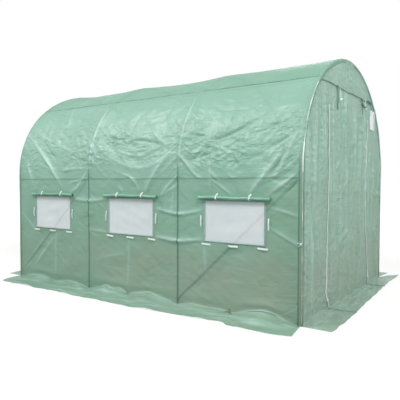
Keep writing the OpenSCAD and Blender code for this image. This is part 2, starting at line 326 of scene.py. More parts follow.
# %% Folds that hang from hoop to hoop
swag_folds, ins, outs = new_group(
    "swag_folds", [("Place", "Vector", None), ("Sag", "Float", 0.22), ("Spacing", "Float", 0.06),
                   ("Stretch", "Float", 4.5)], ["Fold"])
tree = swag_folds
apart = node(tree, "SeparateXYZ", {0: ins["Place"]}).outputs
share = calc(tree, "SUBTRACT", calc(tree, "FRACT", plus(tree, apart["X"], 1.5)), 0.5)
hanging = calc(tree, "SUBTRACT", 1.0, times(tree, share, share, 4.0))
level = plus(tree, apart["Y"], times(tree, hanging, ins["Sag"]))
across = calc(tree, "DIVIDE", level, ins["Spacing"])
along = calc(tree, "DIVIDE", apart["X"], times(tree, ins["Spacing"], ins["Stretch"]))
strip = node(tree, "CombineXYZ", {0: along, 1: across}).outputs[0]
soft_noise = {"Vector": strip, "Scale": 0.5, "Detail": 2.0, "Roughness": 0.45, "Distortion": 0.5}
ridge = node(tree, "TexNoise", soft_noise).outputs[0]
from_ridge = times(tree, calc(tree, "SUBTRACT", ridge, 0.5), 5.0)
sharp = calc(tree, "SUBTRACT", 1.0, calc(tree, "ABSOLUTE", from_ridge))
patches = node(tree, "TexNoise", {"Vector": ins["Place"], "Scale": 3.2, "Detail": 2.0}).outputs[0]
loose = between(tree, patches, 0.38, 0.62)
tree.links.new(times(tree, calc(tree, "MAXIMUM", sharp, 0.0), loose), outs["Fold"])
print("group", swag_folds.name)

# %% Patchy tone
patchy_tone, ins, outs = new_group(
    "patchy_tone", [("Place", "Vector", None), ("Size", "Float", 0.3)], ["Patch", "Fine"])
tree = patchy_tone
per_size = calc(tree, "DIVIDE", 1.0, ins["Size"])
broad = node(tree, "TexNoise", {"Vector": ins["Place"], "Scale": per_size, "Detail": 3.0}).outputs[0]
grain = {"Vector": ins["Place"], "Scale": 85.0, "Detail": 5.0, "Roughness": 0.7}
tree.links.new(between(tree, broad, 0.3, 0.7), outs["Patch"])
tree.links.new(node(tree, "TexNoise", grain).outputs[0], outs["Fine"])
print("group", patchy_tone.name)

# %% Hanging streaks and ground dust
hanging_streaks, ins, outs = new_group(
    "hanging_streaks", [("Place", "Vector", None), ("Width", "Float", 0.02)], ["Streak"])
tree = hanging_streaks
per_width = calc(tree, "DIVIDE", 1.0, ins["Width"])
apart = node(tree, "SeparateXYZ", {0: ins["Place"]}).outputs
drawn_out = times(tree, apart["Z"], 0.05)
slow = node(tree, "CombineXYZ", {0: apart["X"], 1: apart["Y"], 2: drawn_out}).outputs[0]
strands = {"Vector": slow, "Scale": per_width, "Detail": 2.0, "Distortion": 0.4}
tree.links.new(between(tree, node(tree, "TexNoise", strands).outputs[0], 0.3, 0.7), outs["Streak"])

ground_dust, ins, outs = new_group(
    "ground_dust", [("Place", "Vector", None), ("Clean Height", "Float", 0.5)], ["Dust"])
tree = ground_dust
height = node(tree, "SeparateXYZ", {0: ins["Place"]}).outputs["Z"]
blur = node(tree, "TexNoise", {"Vector": ins["Place"], "Scale": 5.0, "Detail": 4.0}).outputs[0]
level = plus(tree, height, times(tree, calc(tree, "SUBTRACT", blur, 0.5), 0.18))
of_clean = calc(tree, "DIVIDE", level, ins["Clean Height"])
tree.links.new(between(tree, of_clean, 0.4, 1.0, 1.0, 0.0), outs["Dust"])
print("groups", hanging_streaks.name, ground_dust.name)

# %% [markdown]
# ## Film finishes
# The cover is a clear film with a green woven grid inside. It scatters light, lets some of it glow through
# and shows a little of what stands behind. One glass shader could do that, but it would be too clear and
# slow. A mix is better: a glossy surface, a translucent layer for the glow and a share of plain see-
# through. The colour goes by height on the map: dust at the foot, partly a painted glow of the brownish
# ground seen through the film, moss over it and crushed facets above the rail. Painted shade darkens the
# wall below the rail, under the shoulder seam, along fine ribs and on the low wall towards the rear and at
# the front end, and painted highlights and shade follow the folds and the steel.

# %% Film effects
def start_material(name):
    """An empty material with the two maps that every finish here reads."""
    material = bpy.data.materials.new(name)
    material.use_nodes = True
    material.node_tree.nodes.clear()
    tree = material.node_tree
    place = node(tree, "TexCoord").outputs["Object"]
    cut = node(tree, "UVMap", uv_map="cut").outputs[0]
    return material, tree, place, cut, node(tree, "OutputMaterial").inputs["Surface"]


def film_effects(tree, place, cut):
    """The shared effects, placed with the film's own values."""
    wide = node(tree, "VectorMath", {0: cut, 1: (0.62, 1.0, 1.0)}, operation="MULTIPLY").outputs[0]
    swag = {"Place": cut, "Sag": 0.24, "Spacing": 0.05, "Stretch": 6.0}
    rib = {"Place": cut, "Sag": 0.02, "Spacing": 0.028, "Stretch": 18.0}
    return {
        "tone": place_group(tree, patchy_tone, {"Place": place, "Size": 0.35}),
        "moss": place_group(tree, patchy_tone, {"Place": place, "Size": 0.42}),
        "weave": place_group(tree, woven_grid, {"Place": cut, "Pitch": 0.009, "Thread": 0.34}),
        "crinkle": place_group(tree, film_crinkle, {"Place": wide, "Size": 0.06}),
        "dust": place_group(tree, ground_dust, {"Place": place, "Clean Height": 0.62}),
        "strands": place_group(tree, hanging_streaks, {"Place": place, "Width": 0.022}),
        "swags": place_group(tree, swag_folds, swag),
        "ribs": place_group(tree, swag_folds, rib),
    }


print("film effects ready")

# %% Film colour and relief
SKIRT_GREY = (0.32, 0.39, 0.345, 1)
MOSS_GREEN = (0.275, 0.395, 0.24, 1)
# Dust, and a painted glow of the brownish ground seen through the film.
DUST_AND_SEEN_GROUND = (0.395, 0.385, 0.315, 1)
# The colour of the painted shade on the low wall.
LOW_WALL_SHADE = (0.19, 0.31, 0.225, 1)
# Painted shade and painted highlight, blended in by the marks stored on each mesh.
PAINTED_SHADE = (0.028, 0.13, 0.07, 1)
PAINTED_HIGHLIGHT = (0.60, 0.83, 0.78, 1)


def film_colour(tree, effects, run, along, pressed, tint, deep, wear_and_shade):
    """Grain and weave first, then wear and painted shade at each height of the map, then painted marks on
    folds and steel.
    """
    fold, dust = wear_and_shade["fold"], wear_and_shade["dust"]
    colour = blend(tree, times(tree, effects["tone"]["Patch"], 0.5), tint, deep)
    colour = blend(tree, times(tree, effects["weave"]["Threads"], 0.4), colour, deep)
    colour = blend(tree, between(tree, effects["tone"]["Fine"], 0.36, 0.64, 0.0, 0.62), colour, deep)
    colour = blend(tree, times(tree, effects["strands"]["Streak"], wear_and_shade["streak"]), colour, deep)
    # Painted shade under the shoulder seam, lighter towards the front end.
    rear_share = between(tree, along, -1.45, -0.7, 0.42, 1.0)
    shaded = times(tree, between(tree, run, 1.38, 1.72, 0.0, wear_and_shade["top_shade"]), rear_share)
    colour = blend(tree, shaded, colour, deep)
    # Painted shade on the wall below the rail.
    colour = blend(tree, between(tree, run, 0.92, 1.12, 0.45 * fold, 0.0), colour, deep)
    colour = blend(tree, between(tree, run, -0.02, 0.01, wear_and_shade["skirt"], 0.0), colour, SKIRT_GREY)
    mossy = times(tree, effects["moss"]["Patch"], between(tree, run, 0.75, 1.10, wear_and_shade["moss"], 0.0))
    colour = blend(tree, mossy, colour, MOSS_GREEN)
    # Dust at the foot, partly real and partly a painted glow of the brownish ground seen through the film;
    # more at the front.
    upright = between(tree, run, -0.02, 0.03)
    more_at_front = between(tree, along, -1.2, 1.2, dust, 0.5 * dust)
    colour = blend(tree, times(tree, effects["dust"]["Dust"], upright, more_at_front), colour, DUST_AND_SEEN_GROUND)
    # Painted shade on the low wall, growing towards the rear and at the front end.
    rear_shade = between(tree, along, -0.4, 1.3, 0.0, 0.42 * fold)
    front_shade = between(tree, along, -1.5, -1.22, 0.34 * fold, 0.0)
    low = between(tree, run, 0.35, 0.95, 1.0, 0.0)
    colour = blend(tree, times(tree, calc(tree, "MAXIMUM", rear_shade, front_shade), low), colour, LOW_WALL_SHADE)
    # Painted shade along the fine ribs.
    colour = blend(tree, times(tree, effects["ribs"]["Fold"], 0.3 * fold), colour, deep)
    # Plus marks blend in painted shade, minus marks blend in painted highlights.
    colour = blend(tree, pressed, colour, PAINTED_SHADE)
    return blend(tree, times(tree, pressed, -1.0), colour, PAINTED_HIGHLIGHT)


def film_relief(tree, effects, run, wear_and_shade):
    """Crushed facets above the rail, the weave, hanging streaks, swags and fine ribs, as one bump."""
    fold = wear_and_shade["fold"]
    crushed_zone = times(tree, between(tree, run, 0.96, 1.14), between(tree, run, 1.34, 1.64, 1.0, 0.0))
    crush = times(tree, crushed_zone, effects["tone"]["Patch"], 0.32 * fold)
    height = times(tree, effects["crinkle"]["Height"], plus(tree, crush, wear_and_shade["crinkle"]))
    height = plus(tree, height, times(tree, effects["weave"]["Height"], 0.00012))
    height = plus(tree, height, times(tree, effects["strands"]["Streak"], 0.015 * wear_and_shade["streak"]))
    upper = between(tree, run, 0.80, 1.05, 0.35 * fold, fold)
    height = plus(tree, height, times(tree, effects["swags"]["Fold"], upper, 0.006))
    height = plus(tree, height, times(tree, effects["ribs"]["Fold"], 0.0015 * fold))
    return node(tree, "Bump", {"Height": height, "Strength": 0.9, "Distance": 1.0}).outputs[0]


print("film colour and relief ready")

# %% Film materials
FILM_CLEAR = (0.80, 0.93, 0.87, 1)
FILM_ROUGH = 0.34
PLAIN_WEAR_AND_SHADE = {"dust": 0.7, "streak": 0.0, "fold": 0.0, "top_shade": 0.0, "skirt": 0.0, "moss": 0.0,
              "crinkle": 0.05}


def film(name, tint, deep, glow_tint, see=0.16, glow=0.3, **own_wear_and_shade):
    """Woven green film: a glossy layer, a glow from behind and some see-through."""
    material, tree, place, cut, surface = start_material(name)
    wear_and_shade = PLAIN_WEAR_AND_SHADE | own_wear_and_shade
    effects = film_effects(tree, place, cut)
    run = node(tree, "SeparateXYZ", {0: cut}).outputs["Y"]
    along = node(tree, "SeparateXYZ", {0: place}).outputs["Y"]
    # The painted shade and highlights stored on the mesh.
    pressed = node(tree, "Attribute", attribute_name="pressed").outputs["Fac"]
    colour = film_colour(tree, effects, run, along, pressed, tint, deep, wear_and_shade)
    gloss = between(tree, effects["tone"]["Fine"], 0.2, 0.8, FILM_ROUGH - 0.06, FILM_ROUGH + 0.12)
    bump = film_relief(tree, effects, run, wear_and_shade)
    face = node(tree, "BsdfPrincipled", {"Base Color": colour, "Roughness": gloss, "Normal": bump,
                                         "Specular IOR Level": 0.5})
    shine = node(tree, "BsdfTranslucent", {"Color": glow_tint})
    clear = node(tree, "BsdfTransparent", {"Color": FILM_CLEAR})
    # Less glow from behind where painted shade lies.
    off_painted_shade = calc(tree, "SUBTRACT", 1.0, calc(tree, "MAXIMUM", pressed, 0.0))
    body = node(tree, "MixShader", {0: times(tree, off_painted_shade, glow), 1: face.outputs[0], 2: shine.outputs[0]})
    both = node(tree, "MixShader", {0: see, 1: body.outputs[0], 2: clear.outputs[0]})
    tree.links.new(both.outputs[0], surface)
    return material


WALL_FILM = film("wall_film", (0.40, 0.605, 0.53, 1), (0.27, 0.485, 0.38, 1), (0.26, 0.50, 0.39, 1),
                 fold=1.0, top_shade=0.8, skirt=0.75, moss=0.52)
# The roof film takes the wall film's deep tone: painted shade on the crown.
ROOF_FILM = film("roof_film", (0.27, 0.485, 0.375, 1), (0.195, 0.40, 0.295, 1), (0.21, 0.46, 0.34, 1),
                 fold=0.35)
GABLE_FILM = film("gable_film", (0.48, 0.645, 0.565, 1), (0.325, 0.50, 0.42, 1), (0.40, 0.60, 0.50, 1),
                  dust=0.45, streak=0.32, skirt=0.8, moss=0.42, crinkle=0.2)
ROLL_FILM = film("roll_film", (0.27, 0.54, 0.39, 1), (0.13, 0.36, 0.24, 1), (0.14, 0.40, 0.27, 1),
                 see=0.03, glow=0.15)
SEAM_FILM = film("seam_film", (0.14, 0.33, 0.24, 1), (0.08, 0.25, 0.17, 1), (0.08, 0.26, 0.18, 1),
                 see=0.0, glow=0.1, dust=0.2)
HEM_FILM = film("hem_film", (0.40, 0.52, 0.49, 1), (0.26, 0.38, 0.36, 1), (0.26, 0.38, 0.34, 1),
                see=0.0, glow=0.1, dust=0.1)
print("films:", [m.name for m in (WALL_FILM, ROOF_FILM, GABLE_FILM, ROLL_FILM, SEAM_FILM, HEM_FILM)])

# %% [markdown]
# ## Creases on the map
# A crease is a sharp low ridge along a line on the flat map, and it fades towards its ends. Film that was
# folded for shipping and then pulled over hoops shows many: long swags that hang from hoop to hoop, and
# short strokes where the slack is crushed. Simulated cloth would be softer than this stiff film, so the
# strokes are drawn.

# %% Crease tools
FAR_AWAY = 9.0


def crease(y, s, out, points, height, width):
    """Adds one crease along a line of map points: height in metres, width of its flank."""
    points = np.asarray(points, float)
    pad = 5 * width
    low, high = points.min(axis=0) - pad, points.max(axis=0) + pad
    box = (y > low[0]) & (y < high[0]) & (s > low[1]) & (s < high[1])
    if not box.any():
        return
    py, ps = y[box], s[box]
    best, along = np.full(py.shape, FAR_AWAY), np.zeros(py.shape)
    lengths = np.linalg.norm(np.diff(points, axis=0), axis=1)
    total, start = lengths.sum(), 0.0
    for a, b, length in zip(points[:-1], points[1:], lengths):
        d = (b - a) / length
        t = np.clip((py - a[0]) * d[0] + (ps - a[1]) * d[1], 0, length)
        far = np.hypot(py - a[0] - t * d[0], ps - a[1] - t * d[1])
        near = far < best
        best[near] = far[near]
        along[near] = (start + t[near]) / total
        start += length
    fade = np.sqrt(np.sin(math.pi * np.clip(along, 0.03, 0.97)))
    out[box] += height * fade * np.exp(0.22 - np.sqrt((best / width) ** 2 + 0.05))


def crushed(y, s, out, rng, centre, reach, count, height, lean=1.6):
    """Many short strokes where slack film is crushed; they follow a swag that hangs in the bay."""
    for _ in range(count):
        cy = centre[0] + reach[0] * rng.normal(0, 0.5)
        cs = centre[1] + reach[1] * rng.normal(0, 0.5)
        angle = math.atan(lean * (cy - centre[0]) / max(reach[0], 0.1)) + rng.normal(0, 0.45)
        length = rng.uniform(0.04, 0.16)
        step = np.array([math.cos(angle), math.sin(angle)]) * length / 2
        middle = np.array([cy, cs])
        knee = middle + rng.normal(0, 0.012, 2)
        tall = height * rng.uniform(-1, 1.2)
        crease(y, s, out, [middle - step, knee, middle + step], tall, rng.uniform(0.007, 0.018))


def ripple(y, s, rng, count, short, long, stretch=1.0):
    """A smooth random surface of height about one, from a few crossing waves."""
    total = np.zeros_like(y)
    for _ in range(count):
        wave, angle = rng.uniform(short, long), rng.uniform(0, 2 * math.pi)
        run = y * math.cos(angle) + s * math.sin(angle) * stretch
        total += np.sin(2 * math.pi * run / wave + rng.uniform(0, 6.3))
    return total / math.sqrt(count)


def bay_share(y):
    """0 at one hoop, 1 at the next."""
    return np.clip((y + 1.5) % 1.0, 0, 1)


print("crease tools ready")

# %% [markdown]
# ## The side films
# Each side is one strip from the skirt's edge on the ground, up the wall and round to the shoulder seam,
# with three window openings. The creases are listed as they are seen on the near side: first the height and
# flank of the fold in millimetres, then its map points. Ridges are plus and valleys are minus. The far side
# can't be seen, so it takes the same folds mirrored, with strokes of its own.

# %% Folds of the near side
FOLDS = [
    (7, 26, [(1.36, 1.36), (1.13, 1.18), (0.97, 1.03), (0.86, 0.91)]),
    (-4, 12, [(1.22, 1.37), (0.96, 1.16)]),
    (6, 20, [(1.40, 1.16), (1.29, 0.93)]),
    (6, 18, [(0.75, 0.86), (0.63, 0.92), (0.51, 1.06)]),
    (4, 10, [(0.76, 0.95), (0.51, 0.99)]),
    (-3, 10, [(1.08, 1.47), (0.96, 1.46)]),
    (4, 12, [(0.88, 1.07), (0.53, 1.08)]),
    (4, 22, [(1.27, 1.43), (0.68, 1.21)]),
    (-5, 11, [(0.30, 1.36), (0.14, 1.34), (0.04, 1.39)]),
    (-6, 12, [(0.10, 1.28), (-0.02, 1.32), (-0.17, 1.30), (-0.33, 1.26)]),
    (-5, 10, [(-0.26, 1.32), (-0.43, 1.33)]),
    (4, 42, [(0.43, 1.28), (0.26, 1.18), (0.03, 1.09), (-0.18, 1.08), (-0.37, 1.16), (-0.47, 1.28)]),
    (7, 16, [(0.46, 1.17), (0.44, 1.11)]),
    (6, 14, [(-0.51, 1.01), (-0.38, 0.90), (-0.33, 0.84)]),
    (4, 9, [(-0.49, 0.93), (-0.34, 0.85)]),
    (8, 30, [(-0.39, 1.17), (-0.28, 1.04), (-0.17, 0.88)]),
    (4, 10, [(0.12, 1.04), (-0.03, 0.98), (-0.10, 0.87)]),
    (4, 12, [(0.15, 1.21), (-0.08, 1.17)]),
    (5, 14, [(0.44, 1.30), (0.36, 1.25)]),
    (6, 18, [(0.55, 1.33), (0.41, 1.18)]),
    (-8, 14, [(-0.77, 1.26), (-0.94, 1.33), (-1.13, 1.42)]),
    (-5, 11, [(-0.57, 1.33), (-0.72, 1.32)]),
    (5, 11, [(-0.63, 1.16), (-0.70, 1.23)]),
    (5, 10, [(-0.66, 1.13), (-0.72, 1.18)]),
    (7, 16, [(-0.52, 1.16), (-0.67, 1.01), (-0.71, 0.99)]),
    (4, 9, [(-0.82, 0.97), (-0.99, 0.86)]),
    (4, 9, [(-0.78, 1.05), (-0.88, 0.96)]),
    (6, 14, [(-1.47, 1.30), (-1.36, 1.04), (-1.28, 0.99)]),
    (8, 28, [(-1.37, 1.16), (-1.25, 1.01), (-1.13, 0.87)]),
    (-6, 13, [(-1.42, 1.42), (-1.16, 1.32)]),
    (-5, 11, [(-1.44, 1.30), (-1.37, 1.25), (-1.27, 1.20)]),
    (-5, 10, [(-1.39, 1.17), (-1.33, 1.07), (-1.28, 1.02)]),
    (-4, 9, [(-1.45, 1.13), (-1.41, 1.11)]),
    (6, 22, [(-1.47, 1.00), (-1.27, 0.87)]),
    (-4, 10, [(-1.49, 0.96), (-1.40, 0.88)]),
    (-3, 14, [(-0.77, 1.55), (-1.06, 1.52)]),
    (3, 16, [(-1.24, 1.51), (-1.45, 1.51)]),
    (4, 12, [(-0.82, 1.23), (-0.95, 1.18)]),
    (4, 10, [(-1.09, 1.31), (-1.07, 1.26)]),
    (-9, 50, [(-0.60, 1.13), (-0.80, 1.18)]),
    (6, 14, [(0.75, 0.81), (0.51, 0.79), (0.26, 0.81)]),
    (6, 14, [(-0.25, 0.75), (-0.51, 0.71), (-0.75, 0.75)]),
    (7, 18, [(-0.25, 0.52), (-0.51, 0.50), (-0.75, 0.53)]),
    (4, 12, [(0.50, 0.53), (0.24, 0.52)]),
    (4, 9, [(-1.29, 0.78), (-1.50, 0.73)]),
    (4, 12, [(-1.29, 0.64), (-1.51, 0.53)]),
    (4, 12, [(0.96, 0.49), (0.965, 0.05)]),
    (4, 12, [(0.02, 0.46), (0.03, 0.04)]),
    (4, 12, [(-0.75, 0.49), (-0.76, 0.24)]),
    (4, 14, [(-0.79, 1.20), (-0.80, 0.91)]),
    (4, 16, [(1.27, 0.14), (0.98, 0.43)]),
]
print(len(FOLDS), "folds drawn on the near side")

# %% Foot and outer edge of the film
# The foot is pinned at the legs and ties and humped between them: place along the tunnel, then height. The
# edge is the place along the tunnel, then the width of the skirt.
FOOT = [(-1.53, 0.0), (-1.50, 0.0), (-1.39, 0.031), (-1.30, 0.063), (-1.22, 0.062), (-1.12, 0.042),
        (-1.01, 0.010), (-0.89, 0.022), (-0.78, 0.018), (-0.64, 0.026), (-0.58, 0.017), (-0.50, 0.0),
        (-0.42, 0.017), (-0.32, 0.036), (-0.22, 0.056), (-0.15, 0.046), (-0.05, 0.030), (0.02, 0.014),
        (0.12, 0.052), (0.20, 0.034), (0.28, 0.056), (0.36, 0.024), (0.50, 0.0), (0.60, 0.02),
        (0.75, 0.036), (0.88, 0.02), (0.97, 0.010), (1.06, 0.03), (1.2, 0.042), (1.35, 0.03), (1.5, 0.0),
        (1.53, 0.0)]
EDGE = [(-1.56, 0.215), (-1.40, 0.262), (-1.17, 0.248), (-1.09, 0.256), (-1.06, 0.225), (-1.02, 0.200),
        (-0.90, 0.226), (-0.82, 0.240), (-0.57, 0.252), (-0.23, 0.283), (0.08, 0.270), (0.4, 0.276),
        (0.7, 0.262), (1.0, 0.274), (1.43, 0.268), (1.56, 0.262)]


def follow(table, y):
    """A smooth curve through a table of (place, value)."""
    at, value = np.array(table).T
    fine = np.linspace(at[0], at[-1], 400)
    raw = np.interp(fine, at, value)
    kernel = np.hanning(13)
    soft = np.convolve(np.pad(raw, 6, mode="edge"), kernel / kernel.sum(), mode="valid")
    return np.interp(y, fine, soft)


print("foot rises to", max(h for _, h in FOOT), "m between the ties")

# %% Slack of a side film
RAIL_Z = 0.985
WINDOW_LOW, WINDOW_TOP, WINDOW_HALF = 0.52, 0.82, 0.25
WINDOW_MIDDLE, WINDOW_RISE = (WINDOW_LOW + WINDOW_TOP) / 2, (WINDOW_TOP - WINDOW_LOW) / 2


def window_distance(y, s):
    """Distance outside the nearest window opening on the map."""
    best = np.full(np.shape(y), FAR_AWAY)
    for bay in BAYS:
        dy = np.clip(np.abs(y - bay) - WINDOW_HALF, 0, None)
        ds = np.clip(np.abs(s - WINDOW_MIDDLE) - WINDOW_RISE, 0, None)
        best = np.minimum(best, np.hypot(dy, ds))
    return best


def stray_folds(side):
    """Long straight folds left from packing, as (height, flank, line)."""
    rng = np.random.default_rng(61 if side < 0 else 67)
    lines = []
    for _ in range(74):
        start = np.array([rng.uniform(-1.45, 1.45), rng.uniform(0.1, 1.6)])
        angle = rng.choice([0.0, 1.57, 0.75, -0.75, 0.5, -0.5]) + rng.normal(0, 0.16)
        length = rng.uniform(0.10, 0.42)
        end = start + length * np.array([math.cos(angle), math.sin(angle)])
        lines.append((rng.uniform(-2.0, 2.5), rng.uniform(6, 10), [tuple(start), tuple(end)]))
    return lines


def drawn_folds(side):
    """The listed folds, rounded; the far side takes them mirrored and a little bent."""
    lines = []
    for height, width, line in FOLDS:
        if len(line) > 2:
            line = smooth_path(line, 5 * len(line) - 4)
        if side > 0:
            line = [(-py + 0.04 * math.sin(9 * ps), ps) for py, ps in line]
        lines.append((height, width, line))
    return lines


def side_slack(y, s, side):
    """How far the film stands off its line, outwards."""
    rng = np.random.default_rng(11 if side < 0 else 23)
    t = bay_share(y)
    hang = 4 * t * (1 - t)
    up = np.clip((s - RAIL_Z) / (S_SHOULDER - RAIL_Z), 0, 1)
    low = np.clip(s / RAIL_Z, 0, 1)
    out = -0.020 * hang * np.sin(math.pi * up) ** 0.7 - 0.006 * hang * np.sin(math.pi * low)
    loose = hang ** 0.5 * np.where(s > RAIL_Z, np.sin(math.pi * up) ** 0.5, np.sin(math.pi * low) ** 0.5)
    out += 0.0035 * ripple(y, s, rng, 9, 0.25, 0.7) * loose
    out += 0.0016 * ripple(y, s, rng, 12, 0.07, 0.2) * loose
    for height, width, line in drawn_folds(side):
        tall = 2.6 if min(ps for _, ps in line) < 1.1 else 1.8
        crease(y, s, out, line, tall * height / 1000, 0.62 * width / 1000)
    for height, width, line in stray_folds(side):
        crease(y, s, out, line, height / 1000, width / 1000)
    for bay, count in ((-1.0, 60), (0.0, 60), (1.0, 34)):
        crushed(y, s, out, rng, (-side * bay, 1.2), (0.36, 0.17), count, 0.0055)
        crushed(y, s, out, rng, (bay, 0.93), (0.40, 0.06), 14, 0.004, lean=0.4)
        crushed(y, s, out, rng, (bay, 0.28), (0.40, 0.16), 26, 0.0035, lean=-0.6)
        crushed(y, s, out, rng, (bay, 1.55), (0.40, 0.14), 22, 0.0035, lean=0.8)
    for hoop in HOOPS[1:3]:
        crushed(y, s, out, rng, (hoop, 0.68), (0.10, 0.14), 14, 0.005, lean=0.2)
    calm = 1 - 0.8 * np.exp(-(window_distance(y, s) / 0.035) ** 2)
    return out * calm


print("slack ready:", len(drawn_folds(-1)), "drawn folds and", len(stray_folds(-1)), "stray ones a side")

# %% Lines that show on a side film
BRACES = (((-0.5, 0.04), (-1.5, RAIL_Z)), ((1.5, 0.04), (0.5, RAIL_Z)))
END_TUBE_Y = 1.4985
FOLD_LINE = 0.0055


def brace_distance(y, s):
    """Distance on the map from the nearest brace."""
    best = np.full(np.shape(y), FAR_AWAY)
    for foot, head in BRACES:
        d = np.subtract(head, foot)
        long = np.hypot(*d)
        t = np.clip(((y - foot[0]) * d[0] + (s - foot[1]) * d[1]) / long, 0, long)
        best = np.minimum(best, np.hypot(y - foot[0] - t * d[0] / long, s - foot[1] - t * d[1] / long))
    return best


def fold_lines(y, s, side):
    """Painted highlights, minus, on sharp folds, along the foot's hump and over the hoops; painted shade,
    plus, in valleys.
    """
    lines = np.zeros_like(y)
    for height, width, line in drawn_folds(side):
        crease(y, s, lines, line, -0.070 * height if height > 0 else -0.13 * height, FOLD_LINE)
        if height > 0:
            crease(y, s, lines, line, -0.055 * height, 0.6 * width / 1000 + 0.008)
    for height, width, line in stray_folds(side):
        crease(y, s, lines, line, -0.24 * height if height > 0 else -0.10 * height, FOLD_LINE)
    lines = np.clip(lines, -0.8, 0.6) * np.clip(window_distance(y, s) / 0.03, 0, 1)
    humped = np.clip(follow(FOOT, y if side < 0 else -y) / 0.035 - 0.25, 0, 1)
    # A painted highlight along the fold where the humped foot turns onto the ground.
    lines -= 0.55 * humped * np.exp(-((s - 0.004) / 0.008) ** 2)
    for hoop in HOOPS[1:3]:
        # A painted highlight where the film is taut over a hoop.
        taut = np.clip((s - 1.04) / 0.12, 0, 1) * np.clip((1.72 - s) / 0.15, 0, 1)
        lines -= 0.8 * taut * np.exp(-((y - hoop + 0.004) / 0.007) ** 2)
    return lines


def steel_lines(y, s):
    """Painted shade, plus where the film lies on steel and no light comes through it."""
    low = np.clip((1.20 - s) / 0.2, 0, 1)
    steel = np.zeros_like(y)
    for hoop in HOOPS[1:3]:
        steel = np.maximum(steel, 0.85 * low * np.exp(-((y - hoop) / 0.0085) ** 4))
    for end in (-1, 1):
        steel = np.maximum(steel, (0.05 + 0.75 * low) * np.exp(-((y - end * END_TUBE_Y) / 0.006) ** 4))
    steel = np.maximum(steel, 0.55 * np.exp(-((s - RAIL_Z) / 0.007) ** 4))
    steel = np.maximum(steel, 0.08 * np.exp(-((s - S_SHOULDER + 0.006) / 0.008) ** 4))
    return np.maximum(steel, (0.62 - 0.25 * (s > 0.7)) * np.exp(-(brace_distance(y, s) / 0.0098) ** 4))


def skirt_marks(on_map, folds, reach):
    """Painted highlights and shade along folds that run along a skirt, and painted shade along its cut edge.
    """
    away, folded = -on_map[:, 1], np.zeros(len(on_map))
    for number, line in enumerate(folds):
        crease(on_map[:, 0], away, folded, line, 0.30 if number % 3 == 0 else -0.42, 0.009)
    edge = 0.42 * np.exp(-((reach - away) / 0.011) ** 2)
    return (np.clip(folded, -0.6, 0.35) + edge) * (away > 0.015)


def map_places(piece):
    """Where each vertex lies on the flat map."""
    uv = np.zeros(len(piece.data.loops) * 2, np.float32)
    corner = np.zeros(len(piece.data.loops), np.int32)
    piece.data.uv_layers[0].data.foreach_get("uv", uv)
    piece.data.loops.foreach_get("vertex_index", corner)
    on_map = np.zeros((len(piece.data.vertices), 2))
    on_map[corner] = uv.reshape(-1, 2)
    return on_map


def mark_pressed(piece, values):
    """Stores the painted shade and highlights on the mesh, where the film's material reads them."""
    layer = piece.data.attributes.new("pressed", "FLOAT", "POINT")
    layer.data.foreach_set("value", values.astype(np.float32).ravel())


print("lines ready:", len(BRACES), "braces on each side")

# %% Wall and skirt of a side film
STEP = 0.25 / 30
BY_HOOP = np.array([-0.021, -0.0165, -0.0125, -0.0042, 0.0042, 0.0125, 0.0165, 0.021])
BY_END = [-1.504, -1.4985, -1.493, 1.493, 1.4985, 1.504]
BY_RAIL = [0.975, 0.979, 0.985, 0.991, 0.995]
SHEET_LIFT = 0.004


def side_grid():
    """Map lines of a side film, closer together where it bends over steel."""
    parts = [[-END_Y, END_Y], -1.5 + STEP * np.arange(361)] + [hoop + BY_HOOP for hoop in HOOPS] + [BY_END]
    y_line = np.concatenate(parts)
    y_line = np.unique(np.round(y_line[np.abs(y_line) <= END_Y], 5))
    s_line = np.concatenate([np.arange(0, 181) * 0.01, BY_RAIL, [S_SHOULDER - 0.006, S_SHOULDER]])
    return y_line, np.unique(s_line)


def over_tube(far, radius=0.0125, tall=0.004):
    """The round that a tube pushes into the film above it."""
    return tall * np.exp(-(far / radius) ** 2)


def side_wall(y, s, foot, side):
    """The upright film: its slack, the rounds over the hoops and the hump at its foot."""
    out = side_slack(y, s, side)
    for hoop in HOOPS[1:3]:
        out += over_tube(y - hoop) * np.clip((s - 0.9) / 0.3, 0.2, 1)
    x, z, nx, nz = section(s)
    z = z + foot * np.clip(1 - s / 0.16, 0, 1)
    out += 0.16 * foot * np.exp(-((s - 0.07) / 0.05) ** 2) + 0.22 * foot * np.exp(-(s / 0.014) ** 2)
    return np.stack([side * (x + nx * out), y, z + nz * out], axis=-1)


